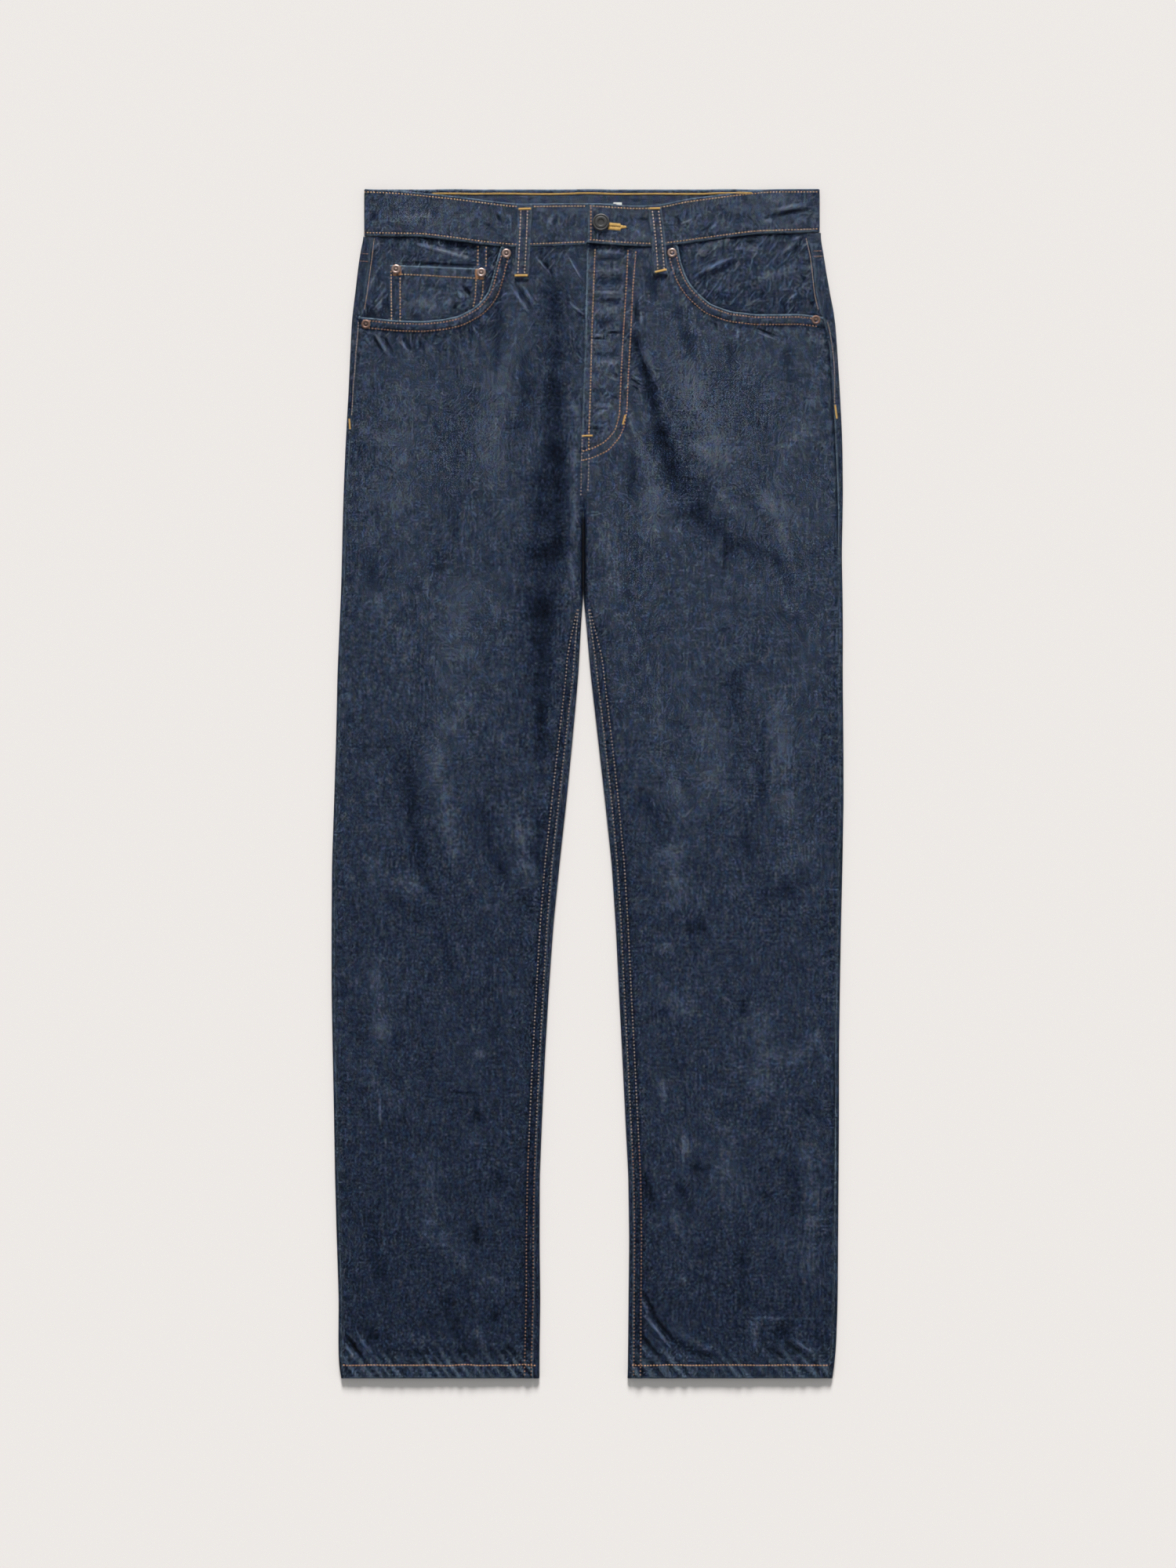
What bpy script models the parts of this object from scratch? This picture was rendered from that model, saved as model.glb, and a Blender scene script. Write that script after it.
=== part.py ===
"""Straight leg jeans, laid flat on their back on a level surface.

Sizes are in millimetres and become metres where a mesh is made. +Y runs towards the waist, +X towards the
wearer's left, +Z up. The origin is on the surface, under the middle of the garment.

Each leg is a flattened tube. Its back panel lies on the surface and rolls up round both sides onto the
front, as far as the side seam and the inseam; the front panel lies between those two seams.
"""
import math

import bmesh
import bpy
import numpy as np
from mathutils import Matrix, Vector
from mathutils.bvhtree import BVHTree

MM = 0.001

# Cloth and seams
DENIM = 1.2            # one layer of the heavy twill
BAND = 2.2             # waistband: the doubled strip and its turned edges
HEM = 2.4              # leg hem: the cloth turned twice
LOOP = 1.2             # belt loop
PATCH = 1.0            # back pocket
SEAM_GAP = 0.3         # between two pieces at a seam
BAND_GAP = 0.6         # between the waistband and the pieces sewn to it
SETTLE = 0.4           # air between layers that lie on each other
ROLL = 3.8             # height of the rolled side of a leg
HEM_ROLL = 5.4         # the same at the hem
HEM_TOP = -534.0       # the hem's stitched edge
HEM_START = -515.0     # where the leg starts to thicken towards the hem

# Waist and rise
WAIST_Y = 545.8        # top edge of the back waistband
BAND_BACK_Y = 505.5    # bottom edge of the waistband, centre back
BACK_TOP = (2.0, 503.0)        # centre back seam: x and y at the waistband
CROTCH = (-4.4, 252.0)         # where the four seams meet
CENTRE_GAP = 0.2               # each back panel's distance from the centre seam
YOKE_CENTRE_Y = 434.0          # yoke seam at the centre back
YOKE_SIDE_Y = 483.0            # yoke seam at the sides
BAND_UNDERLAP = 26.0           # how far the button end reaches past x = 0
BAND_UNDERLAP_Y = 496.6        # its lower edge where the other end covers it
BAND_MIDDLE_Y = 520.0          # a height within the waistband
BAND_REACH = {-1: 205.4, 1: 212.6}     # its outermost reach at the sides
BAND_LAP_BLEND = (4.0, 44.0)   # the buttonhole end comes down off the other over this much
BAND_TAPER = (0.5, -0.9)       # how much wider and narrower its top and bottom edges reach
YOKE_MIDDLE = (493.0, 472.0)   # a section of the yoke: y at the side and at the centre back
FLY_LAP = 15.0                 # width of the lapped fly that stays flat
FLY_BLEND = 30.0               # over which the lap settles onto the front
FLY_UNDER_REACH = 12.0         # how much of the right front is pressed down beside the lap
FLY_END = (242.0, 10.0)        # y where the lap begins, and over how much it grows
FLY_WAIST = (430.0, 64.0)      # the same for the waistband's lift of it
FLY_RISE = 0.7                 # how far the left front stands up on the right one
FLY_PRESS = 0.9                # how far the right front is pressed down under it
FLY_WAIST_RISE = 1.4           # how much higher both are at the waistband

# The back lies over the back pockets and belt loops: how far it stays level beside them, and over how
# much it comes down again. The waistband follows the belt loops more closely.
LIFT = (14.0, 8.0)
BAND_LIFT_BACK = (2.0, 8.0)
BAND_LIFT_FRONT = (2.0, 30.0)

LEGS = {-1: "right", 1: "left"}        # by the sign of x
HIP_LEVELS = [483.0, 447.0, 429.0, 400.0]      # sections of the back between the yoke seam and the hip
LAYERS_END = 220.0             # above this, pockets lie between the front and the back
LONG_STEP = 25.0               # sections of the front further apart than this get one more between them
INSEAM_COLUMNS = (14.0, 6.0)   # the front's last columns before the inseam, by their distance to it
CREASE_REACH = 12.0            # from a side seam to where the front stands at its full height
LEG_SAG = 0.3                  # how far the front of a leg stands over its rolled sides
HIP_RISE = 0.6                 # and how much more over the hips
HIP_RISE_START = (180.0, 90.0) # y where that begins, and over how much of the leg it grows


def table(columns, rows):
    """Columns by name, each an array with one number a row."""
    names = columns.split()
    return {name: np.array([row[i] for row in rows], float) for i, name in enumerate(names)}


def at(columns, name, y):
    """A column's value at y, for a table whose y falls from row to row."""
    return np.interp(-np.asarray(y, float), -columns["y"], columns[name])


# Outline of the legs, from the waistband to the hem. "out" and "in" are the x of a leg's outer and inner
# side; "side" and "inseam" are how far in from them the seam lies on the front; "turn" is how far the
# inner side has rolled up, from 0 at the rise to 1 below the crotch.
LEVELS = table(
    "y right_out right_in left_in left_out right_side right_inseam left_inseam left_side turn", [
        (503.0, -206.0, -4.6, -4.2, 212.8, 7.4, 0.0, 0.0, 11.4, 0.0),
        (493.0, -207.6, -4.6, -4.2, 215.2, 7.8, 0.0, 0.0, 10.2, 0.0),
        (483.0, -210.0, -4.6, -4.2, 216.6, 8.8, 0.0, 0.0, 9.4, 0.0),
        (447.0, -214.0, -4.6, -4.2, 222.6, 8.2, 0.0, 0.0, 11.8, 0.0),
        (429.0, -216.6, -4.6, -4.2, 226.6, 7.1, 0.0, 0.0, 10.6, 0.0),
        (400.0, -218.0, -4.6, -4.2, 228.7, 6.4, 0.0, 0.0, 6.8, 0.0),
        (364.0, -219.6, -4.6, -4.2, 231.0, 5.6, 0.0, 0.0, 6.8, 0.0),
        (318.0, -222.2, -4.6, -4.2, 233.4, 4.2, 0.0, 0.0, 6.4, 0.0),
        (272.0, -224.2, -4.6, -4.2, 234.0, 3.4, 0.0, 0.0, 5.0, 0.0),
        (252.0, -224.8, -4.6, -4.2, 233.8, 3.2, 0.0, 0.0, 4.4, 0.0),
        (249.0, -224.9, -4.6, -4.2, 233.8, 3.2, 0.9, 0.9, 4.3, 0.33),
        (245.5, -225.0, -4.6, -4.2, 233.7, 3.2, 3.0, 3.0, 4.2, 0.67),
        (242.0, -225.1, -4.6, -4.2, 233.6, 3.2, 5.5, 5.5, 4.1, 1.0),
        (212.0, -225.8, -4.6, -4.2, 232.9, 3.2, 3.8, 3.8, 3.8, 1.0),
        (179.0, -226.6, -4.8, -4.0, 233.6, 3.2, 3.0, 3.0, 3.8, 1.0),
        (144.0, -228.2, -6.5, -1.4, 234.0, 3.2, 3.0, 3.1, 3.8, 1.0),
        (101.0, -230.0, -8.8, 2.4, 233.8, 3.2, 3.0, 4.0, 3.8, 1.0),
        (43.0, -231.2, -14.0, 9.0, 234.4, 3.2, 4.4, 4.3, 3.8, 1.0),
        (-14.0, -233.0, -19.6, 15.4, 234.6, 3.2, 5.2, 4.2, 3.8, 1.0),
        (-72.0, -235.0, -26.0, 21.6, 233.6, 3.2, 5.2, 3.4, 3.8, 1.0),
        (-130.0, -235.4, -31.8, 25.4, 232.2, 3.2, 4.0, 3.2, 3.8, 1.0),
        (-187.0, -235.4, -35.8, 28.2, 231.2, 3.2, 3.3, 3.1, 3.8, 1.0),
        (-245.0, -234.4, -39.2, 31.2, 230.4, 3.2, 3.1, 3.1, 3.8, 1.0),
        (-302.0, -233.2, -41.9, 34.0, 230.4, 3.2, 3.1, 3.1, 3.8, 1.0),
        (-360.0, -232.2, -44.2, 37.0, 230.0, 3.2, 3.2, 3.1, 3.8, 1.0),
        (-418.0, -230.6, -44.4, 37.8, 229.6, 3.2, 4.0, 3.1, 3.8, 1.0),
        (-472.0, -228.8, -43.8, 37.2, 229.2, 3.2, 4.6, 3.2, 3.8, 1.0),
        (-515.0, -229.2, -44.4, 36.8, 227.8, 3.3, 5.2, 3.4, 4.0, 1.0),
        (-534.0, -228.6, -44.6, 36.6, 226.0, 3.4, 5.4, 3.5, 4.2, 1.0),
        (-545.0, -226.4, -44.6, 36.2, 224.2, 3.4, 5.4, 3.5, 4.2, 1.0),
    ])

# The scooped pocket mouths, from the side seam to the waistband.
MOUTH_RIGHT = [(-209.2, 428.4), (-192.2, 426.6), (-175.7, 424.8), (-151.2, 424.1), (-132.5, 425.9),
               (-118.1, 429.1), (-102.6, 437.4), (-95.0, 445.7), (-90.7, 452.9), (-86.4, 468.0),
               (-83.5, 480.2), (-80.2, 491.6)]
MOUTH_LEFT = [(215.4, 428.4), (194.4, 431.3), (172.8, 430.6), (153.4, 430.6), (130.3, 433.4),
              (112.3, 439.9), (99.4, 451.4), (93.6, 458.6), (89.0, 467.3), (85.0, 479.5),
              (82.4, 490.0), (81.6, 493.6)]

MOUTHS = {-1: MOUTH_RIGHT, 1: MOUTH_LEFT}
MOUTH_RISE = {-1: 1.2, 1: 0.7}         # how far the turned edge of the mouth stands up
MOUTH_WIDTH = 16.0                     # over how much of the front that fades out
MOUTH_SIDE = 14.0                      # and towards the side seam
MOUTH_CORNER_Y = 429.2                 # where the facing meets the front at the side seam
FACING_TUCK = 9.0                      # how far the facing reaches under the front
FACING_LEVELS = (493.0, 483.0, 465.0, 447.0)   # its sections between the waistband and the mouth

# Waistband edges on the front, from the side to the fly.
BAND_TOP_RIGHT = [(-204.5, 545.8), (-146.9, 541.6), (-103.7, 536.6), (-67.0, 531.8), (-21.6, 532.6),
                  (30.0, 532.0)]
BAND_TOP_LEFT = [(211.7, 545.8), (166.3, 545.6), (140.4, 542.9), (114.5, 539.6), (87.8, 536.2),
                 (69.8, 531.9), (51.8, 530.1), (37.4, 530.1), (0.0, 532.2)]
BAND_BOTTOM_RIGHT = [(-206.0, 502.8), (-151.2, 501.8), (-97.9, 494.8), (-67.0, 491.9), (-2.9, 494.1)]
BAND_BOTTOM_LEFT = [(213.1, 506.2), (153.4, 504.2), (114.5, 499.0), (72.0, 493.4), (56.9, 492.5),
                    (28.1, 493.6), (0.0, 495.8)]

BAND_BOTTOMS = {-1: BAND_BOTTOM_RIGHT, 1: BAND_BOTTOM_LEFT}
# Where the columns of a front panel meet the waistband, from the pocket mouth to the fly.
FRONT_TOP_X = {-1: [-62.0, -36.0, -13.0, -1.8, 13.4], 1: [62.0, 46.0, 29.4, 14.4, -0.6]}

# The fly: x of the left front's edge, and how far the right front reaches under it.
FLY = table("y edge underlap", [
    (494.0, -0.6, 14.0),
    (430.0, -1.4, 14.0),
    (357.0, -4.3, 14.0),
    (318.0, -5.8, 13.0),
    (295.0, -6.0, 7.0),
    (272.0, -5.8, 6.0),
    (252.0, -5.0, -0.4),
])

# Folds on the front: the line of each from (x0, y0) past (x1, y1) to (x2, y2), its half width, and its
# height, which is negative for a trough.
FOLDS = table("x0 y0 x1 y1 x2 y2 width height", [
    (-27, 468, -25, 317, -30, 216, 13, -0.9),
    (-30, 216, -34, 120, -44, 20, 17, -1.0),
    (-12, 330, -12, 240, -15, 165, 7, 0.7),
    (-79, 405, -87, 330, -94, 255, 17, 1.3),
    (-60, 400, -58, 360, -62, 320, 9, -0.5),
    (-160, 395, -172, 300, -176, 200, 22, 1.2),
    (-130, 210, -120, 120, -118, 30, 22, 1.4),
    (-168, 60, -150, -60, -126, -150, 12, -1.0),
    (-146, 60, -124, -50, -104, -140, 13, 1.2),
    (-94, -10, -80, -60, -62, -116, 11, -0.8),
    (-200, -150, -186, -260, -190, -380, 18, 1.0),
    (-96, -200, -104, -310, -96, -420, 20, 1.3),
    (-150, -330, -144, -410, -150, -490, 12, -0.6),
    (47, 410, 72, 317, 108, 273, 13, -1.0),
    (108, 273, 151, 223, 190, 186, 14, -1.1),
    (82, 405, 108, 331, 151, 276, 15, 1.4),
    (151, 276, 188, 245, 212, 222, 12, 1.0),
    (60, 250, 84, 170, 88, 80, 20, 1.4),
    (126, 410, 132, 392, 141, 372, 8, -0.5),
    (130, 100, 142, 20, 158, -72, 13, -0.8),
    (160, 110, 176, 10, 186, -80, 15, 1.1),
    (70, -40, 80, -130, 84, -220, 17, 1.2),
    (150, -190, 160, -290, 150, -400, 20, 1.2),
    (52, -300, 62, -370, 60, -440, 9, 1.0),
    (88, -350, 92, -400, 98, -450, 10, -0.6),
    (200, -300, 204, -400, 198, -490, 12, 0.8),
])

FOLD_END = 0.12                # how far a fold runs past its ends, as a share of its length
FOLD_FADE = 0.3                # the share of its length over which it fades out
FOLD_HEM_FADE = 30.0           # folds fade out over this much above the hem
FOLD_RANGE = (-1.1, 1.8)       # the deepest trough and the highest ridge

# Belt loops: (x, y) of the top and bottom ends.
LOOP_WIDTH = 13.0
LOOP_STEPS = 12                # sections of a front loop
LOOP_BOW = 0.5                 # how far it stands clear halfway
LOOP_CROWN = 0.3               # how much thicker it is along its middle
FRONT_LOOPS = {
    "belt_loop_front_right": ((-57.8, 531.4), (-61.1, 462.6)),
    "belt_loop_front_left": ((60.5, 530.4), (66.6, 466.6)),
}
BACK_LOOPS = {
    "belt_loop_back_right": ((-124.0, 545.0), (-124.0, 477.0)),
    "belt_loop_back_centre": ((2.0, 545.0), (2.0, 477.0)),
    "belt_loop_back_left": ((128.0, 545.0), (128.0, 477.0)),
}

# Back pockets: the outline of the right one from its centre line; the left one mirrors it.
POCKET_CENTRE = (-116.0, 398.0)
POCKET_LEFT_X = 120.0
POCKET_OUTLINE = [(-75, 0), (75, -5), (69, -132), (0, -160), (-65, -130)]

# Coin pocket: its top corners, and where its lower edge lies under the pocket mouth.
COIN_TOP = ((-181.8, 476.3), (-92.2, 472.0))
COIN_LOW = [(-180.0, 419.6), (-164.0, 418.8), (-150.0, 418.6), (-137.0, 419.6), (-125.0, 422.0),
            (-114.0, 425.6), (-104.0, 431.0), (-96.4, 441.0)]

BUTTON = (11.8, 514.1)
BUTTON_RADIUS = 7.9
SHANK_RADIUS = 2.9
HOLE_RADIUS = 3.4
RIVET_RADIUS = 4.4
RIVET_SINK = 0.6               # it bridges hollows deeper than this
RIVETS = {
    "rivet_coin_outer": (-176.0, 472.0),
    "rivet_coin_inner": (-97.8, 468.8),
    "rivet_mouth_right_waist": (-74.8, 486.4),
    "rivet_mouth_right_side": (-203.6, 421.6),
    "rivet_mouth_left_waist": (77.0, 487.0),
    "rivet_mouth_left_side": (209.0, 425.6),
}
LABEL = ((23.2, 520.0), (31.0, 533.6))
LABEL_THICKNESS = 0.5


# ---- heights of the layers -----------------------------------------------------------------------------

def ease(t):
    """0 to 1, level at both ends."""
    t = np.clip(t, 0.0, 1.0)
    return t * t * (3.0 - 2.0 * t)


def thickness(y):
    """Wall of a leg panel at y."""
    return DENIM + (HEM - DENIM) * np.clip((HEM_START - y) / (HEM_START - HEM_TOP), 0.0, 1.0)


def roll_height(y):
    """Height of a leg's rolled side at y."""
    return ROLL + (HEM_ROLL - ROLL) * np.clip((HEM_START - y) / (HEM_START - HEM_TOP), 0.0, 1.0)


def distance_to_line(x, y, points):
    """Distance to an open line through the points."""
    nearest = np.full(np.shape(x), np.inf)
    for (x0, y0), (x1, y1) in zip(points[:-1], points[1:]):
        dx, dy = x1 - x0, y1 - y0
        t = np.clip(((x - x0) * dx + (y - y0) * dy) / (dx * dx + dy * dy), 0.0, 1.0)
        nearest = np.minimum(nearest, np.hypot(x - x0 - t * dx, y - y0 - t * dy))
    return nearest


def pocket_outline(side):
    """The back pocket's corners on one side."""
    if side < 0:
        return [(POCKET_CENTRE[0] + x, POCKET_CENTRE[1] + y) for x, y in POCKET_OUTLINE]
    return [(POCKET_LEFT_X - x, POCKET_CENTRE[1] + y) for x, y in reversed(POCKET_OUTLINE)]


def distance_outside(x, y, corners):
    """How far a point is outside a convex outline; 0 within it."""
    closed = corners + corners[:1]
    centre = np.mean(corners, axis=0)
    outside = np.zeros(np.shape(x))
    for (x0, y0), (x1, y1) in zip(closed[:-1], closed[1:]):
        nx, ny = y1 - y0, x0 - x1
        length = math.hypot(nx, ny)
        sign = 1.0 if (centre[0] - x0) * nx + (centre[1] - y0) * ny < 0 else -1.0
        outside = np.maximum(outside, sign * ((x - x0) * nx + (y - y0) * ny) / length)
    return outside


def lift(x, y, margin, reach):
    """How far the back is raised by the pockets and belt loops under it.

    It is level over them and for margin round them, and then fades out over reach."""
    x = np.asarray(x, float)
    y = np.asarray(y, float)
    raised = np.zeros(np.broadcast(x, y).shape)
    for side in (-1, 1):
        clear = distance_outside(x, y, pocket_outline(side))
        raised = np.maximum(raised, (PATCH + SEAM_GAP) * (1.0 - np.clip((clear - margin) / reach, 0.0, 1.0)))
    for (top_x, _), (_, bottom_y) in BACK_LOOPS.values():
        clear = np.maximum(np.maximum(np.abs(x - top_x) - LOOP_WIDTH / 2, bottom_y - y), 0.0)
        raised = np.maximum(raised, (LOOP + SEAM_GAP) * (1.0 - np.clip((clear - margin) / reach, 0.0, 1.0)))
    return raised


def seam_distance(x, y, side):
    """Distance from the side seam and, below the crotch, from the inseam."""
    leg = LEGS[side]
    outer = side * at(LEVELS, leg + "_out", y) - at(LEVELS, leg + "_side", y)
    inner = side * at(LEVELS, leg + "_in", y) + at(LEVELS, leg + "_inseam", y)
    return outer - side * x, side * x - inner


def fly_shift(x, y, side):
    """The left front laps over the right at the fly: how far each is moved up or down there."""
    edge = at(FLY, "edge", y)
    near_waist = FLY_WAIST_RISE * ease((y - FLY_WAIST[0]) / FLY_WAIST[1])
    lapped = np.clip((y - FLY_END[0]) / FLY_END[1], 0.0, 1.0)
    if side > 0:
        lap = 1.0 - ease((x - edge - FLY_LAP) / FLY_BLEND)
        return lapped * lap * (FLY_RISE + near_waist)
    lap = np.clip((x - edge + FLY_UNDER_REACH) / (FLY_UNDER_REACH - 1.0), 0.0, 1.0)
    return lapped * lap * (near_waist - FLY_PRESS)


def fold_height(x, y):
    """Ridges and troughs of the front, each fading out at its ends."""
    total = np.zeros(np.broadcast(x, y).shape)
    for x0, y0, x1, y1, x2, y2, width, height in zip(*FOLDS.values()):
        t = (y0 - y) / (y0 - y2)
        bend = np.clip(t, 0.0, 1.0)
        line = (1 - bend) ** 2 * x0 + 2 * bend * (1 - bend) * (2 * x1 - (x0 + x2) / 2) + bend ** 2 * x2
        slope = math.hypot(x2 - x0, y2 - y0) / abs(y2 - y0)
        fade = ease((t + FOLD_END) / FOLD_FADE) * ease((1.0 + FOLD_END - t) / FOLD_FADE)
        total = total + height * fade * np.exp(-((x - line) / (width * slope)) ** 2)
    return total


def front_under(x, y, side):
    """Underside of a front panel."""
    x = np.asarray(x, float)
    y = np.asarray(y, float)
    outer, inner = seam_distance(x, y, side)
    turn = at(LEVELS, "turn", y)
    rise = LEG_SAG + HIP_RISE * ease((y - HIP_RISE_START[0]) / HIP_RISE_START[1])
    inside = ease(outer / CREASE_REACH) * (1.0 - turn * (1.0 - ease(inner / CREASE_REACH)))
    base = roll_height(y) - thickness(y) + rise * inside
    over_pocket = MOUTH_RISE[side] * np.exp(-(distance_to_line(x, y, MOUTHS[side]) / MOUTH_WIDTH) ** 2)
    over_pocket = over_pocket * ease(outer / MOUTH_SIDE)
    folds = fold_height(x, y) * inside * ease((y - HEM_START) / FOLD_HEM_FADE)
    return base + over_pocket + fly_shift(x, y, side) + np.clip(folds, *FOLD_RANGE)


# ---- meshes --------------------------------------------------------------------------------------------

def clear_scene():
    for item in list(bpy.data.objects):
        bpy.data.objects.remove(item, do_unlink=True)


def material(name, colour, roughness, metallic=0.0):
    """A plain finish."""
    made = bpy.data.materials.new(name)
    made.use_nodes = True
    shader = made.node_tree.nodes["Principled BSDF"]
    shader.inputs["Base Color"].default_value = (*colour, 1.0)
    shader.inputs["Roughness"].default_value = roughness
    shader.inputs["Metallic"].default_value = metallic
    return made


def add_object(name, mesh, finish):
    """Link a mesh as a named object with its finish."""
    mesh.materials.append(finish)
    made = bpy.data.objects.new(name, mesh)
    collection.objects.link(made)
    return made


def cloth_wall(name, outer, inner, finish):
    """A closed wall between two grids of points, each rows x columns x 3."""
    rows, columns = outer.shape[:2]
    bm = bmesh.new()
    sides = [[[bm.verts.new(Vector(point) * MM) for point in row] for row in grid] for grid in (outer, inner)]
    for skin in sides:
        for i in range(rows - 1):
            for j in range(columns - 1):
                bm.faces.new((skin[i][j], skin[i][j + 1], skin[i + 1][j + 1], skin[i + 1][j]))
    rim = [(0, j) for j in range(columns)] + [(i, columns - 1) for i in range(1, rows)]
    rim += [(rows - 1, j) for j in range(columns - 2, -1, -1)] + [(i, 0) for i in range(rows - 2, 0, -1)]
    for (i, j), (k, m) in zip(rim, rim[1:] + rim[:1]):
        bm.faces.new((sides[0][i][j], sides[0][k][m], sides[1][k][m], sides[1][i][j]))
    bmesh.ops.recalc_face_normals(bm, faces=bm.faces)
    mesh = bpy.data.meshes.new(name)
    bm.to_mesh(mesh)
    bm.free()
    mesh.shade_smooth()
    mesh.set_sharp_from_angle(angle=math.radians(40))
    return add_object(name, mesh, finish)


def with_height(x, y, z):
    """Points from three arrays of one shape."""
    return np.stack(np.broadcast_arrays(x, y, z), axis=-1).astype(float)


def between(start, end, steps):
    """Grids of rows that run from one row of points to the next in equal steps, start included."""
    return [start + (end - start) * k / steps for k in range(steps)]


def top_of(objects, x, y):
    """Height of the highest of some objects at a point."""
    best = 0.0
    for item in objects:
        hit, _, _, _ = surfaces[item.name].ray_cast(Vector((x * MM, y * MM, 1.0)), Vector((0.0, 0.0, -1.0)))
        if hit is not None:
            best = max(best, hit.z / MM)
    return best


def resting(grid, carriers, gap):
    """Lowest height of each point of a grid (rows x columns x 2) that keeps its cloth clear of the carriers.

    Each point clears what lies within its own cells, so the faces between points clear it too."""
    rows, columns = grid.shape[:2]
    lowest = np.zeros((rows, columns))
    for i in range(rows):
        for j in range(columns):
            x, y = grid[i, j]
            beside = [grid[i, k, 0] for k in (max(j - 1, 0), min(j + 1, columns - 1))]
            along = [grid[k, j, 1] for k in (max(i - 1, 0), min(i + 1, rows - 1))]
            across = [x + 0.85 * (edge - x) for edge in (min(beside), x, max(beside))]
            lowest[i, j] = gap + max(
                top_of(carriers, px, py)
                for px in np.linspace(across[0], across[2], 7)
                for py in np.linspace(min(along + [y]), max(along + [y]), 5))
    return lowest


def laid(item):
    """Remember an object's surface, for what is laid on it."""
    points = [vertex.co.copy() for vertex in item.data.vertices]
    surfaces[item.name] = BVHTree.FromPolygons(points, [list(face.vertices) for face in item.data.polygons])
    return item


# ---- back: panels and yokes ----------------------------------------------------------------------------

def turned_edge(edge, radius, turn, tail, wall, count):
    """Half section of a rolled side, from its free end to the flat: points (across, up) of both skins.

    edge is the outermost reach, and the flat lies at greater values."""
    angle = math.pi * turn
    arc = radius * angle
    tail = tail * max(0.0, (turn - 0.8) / 0.2)
    flat = 8.0 * (1.0 - turn)
    centre = edge + radius * math.sin(min(angle, math.pi / 2))
    outer, inner = [], []
    for k in range(count):
        s = (tail + arc + flat) * k / (count - 1)
        if turn == 1.0:
            s = tail + arc * (k - 1) / (count - 2) if k else 0.0
        if s < tail:
            outer.append((centre + tail - s, 2.0 * radius))
            inner.append((centre + tail - s, 2.0 * radius - wall))
        elif s <= tail + arc + 1e-6:
            a = angle - (s - tail) / radius
            outer.append((centre - radius * math.sin(a), radius - radius * math.cos(a)))
            inner.append((centre - (radius - wall) * math.sin(a), radius - (radius - wall) * math.cos(a)))
        else:
            outer.append((centre + s - tail - arc, 0.0))
            inner.append((centre + s - tail - arc, wall))
    return outer, inner


def back_section(side, side_y, centre_y, turn):
    """One section of the back: the free inner edge, the flat, and the rolled outer side."""
    leg = LEGS[side]
    edge_points, flat_points = 6, 9
    wall = float(thickness(side_y))
    radius = float(roll_height(side_y)) / 2
    out = side * float(at(LEVELS, leg + "_out", side_y))
    tail = float(at(LEVELS, leg + "_side", side_y)) - radius
    if turn > 0.0:
        inner_edge = side * float(at(LEVELS, leg + "_in", side_y))
    else:
        t = (centre_y - CROTCH[1]) / (BACK_TOP[1] - CROTCH[1])
        inner_edge = side * (CROTCH[0] + (BACK_TOP[0] - CROTCH[0]) * t) + CENTRE_GAP
    inseam = max(0.0, float(at(LEVELS, leg + "_inseam", side_y)) - radius)
    start_outer, start_inner = turned_edge(inner_edge, radius, turn, inseam, wall, edge_points)
    roll_outer, roll_inner = turned_edge(-out, radius, 1.0, tail, wall, edge_points)
    roll_outer = [(-a, z) for a, z in reversed(roll_outer)]
    roll_inner = [(-a, z) for a, z in reversed(roll_inner)]
    first, last = start_outer[-1][0], roll_outer[0][0]
    steps = [first + (last - first) * (k + 1) / (flat_points + 1) for k in range(flat_points)]
    outer = start_outer + [(a, 0.0) for a in steps] + roll_outer
    inner = start_inner + [(a, wall) for a in steps] + roll_inner

    def placed(points, flat_level):
        across = np.array([a for a, _ in points])
        up = np.array([z for _, z in points])
        share = np.clip((across - inner_edge) / (last - inner_edge), 0.0, 1.0)
        share[-edge_points:] = 1.0
        y = centre_y + (side_y - centre_y) * share
        on_floor = np.isclose(up, flat_level)
        on_floor[:edge_points] &= turn == 0.0
        return with_height(side * across, y, up + np.where(on_floor, lift(side * across, y, *LIFT), 0.0))

    return placed(outer, 0.0), placed(inner, wall)


def make_back(side, finish):
    """Back panel of one leg, from the yoke seam to the hem."""
    first, last = HIP_LEVELS[0], HIP_LEVELS[-1]
    sections = [back_section(side, first - SEAM_GAP, YOKE_CENTRE_Y - SEAM_GAP, 0.0)]
    for side_y in HIP_LEVELS[1:]:
        share = (first - side_y) / (first - last)
        sections.append(back_section(side, side_y, YOKE_CENTRE_Y + (last - YOKE_CENTRE_Y) * share, 0.0))
    for y, turn in zip(LEVELS["y"], LEVELS["turn"]):
        if y < last:
            sections.append(back_section(side, y, y, turn))
    outer = np.array([section[0] for section in sections])
    inner = np.array([section[1] for section in sections])
    return cloth_wall("back_" + LEGS[side], outer, inner, finish)


def make_yoke(side, finish):
    """Back yoke of one side, from the waistband to the yoke seam."""
    band_side = BAND_BOTTOMS[side][0][1]
    rows = [(band_side - BAND_GAP, BAND_BACK_Y - BAND_GAP), YOKE_MIDDLE, (YOKE_SIDE_Y, YOKE_CENTRE_Y)]
    sections = [back_section(side, side_y, centre_y, 0.0) for side_y, centre_y in rows]
    outer = np.array([section[0] for section in sections])
    inner = np.array([section[1] for section in sections])
    return cloth_wall("yoke_" + LEGS[side], outer, inner, finish)


# ---- front panels and pocket facings -------------------------------------------------------------------

def edge_at(points, x):
    """y of an edge at x."""
    ordered = sorted(points)
    return np.interp(x, [p[0] for p in ordered], [p[1] for p in ordered])


def seam_x(side, y):
    """x of the front's edge at the side seam."""
    leg = LEGS[side]
    return float(at(LEVELS, leg + "_out", y) - side * (at(LEVELS, leg + "_side", y) + SEAM_GAP))


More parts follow.
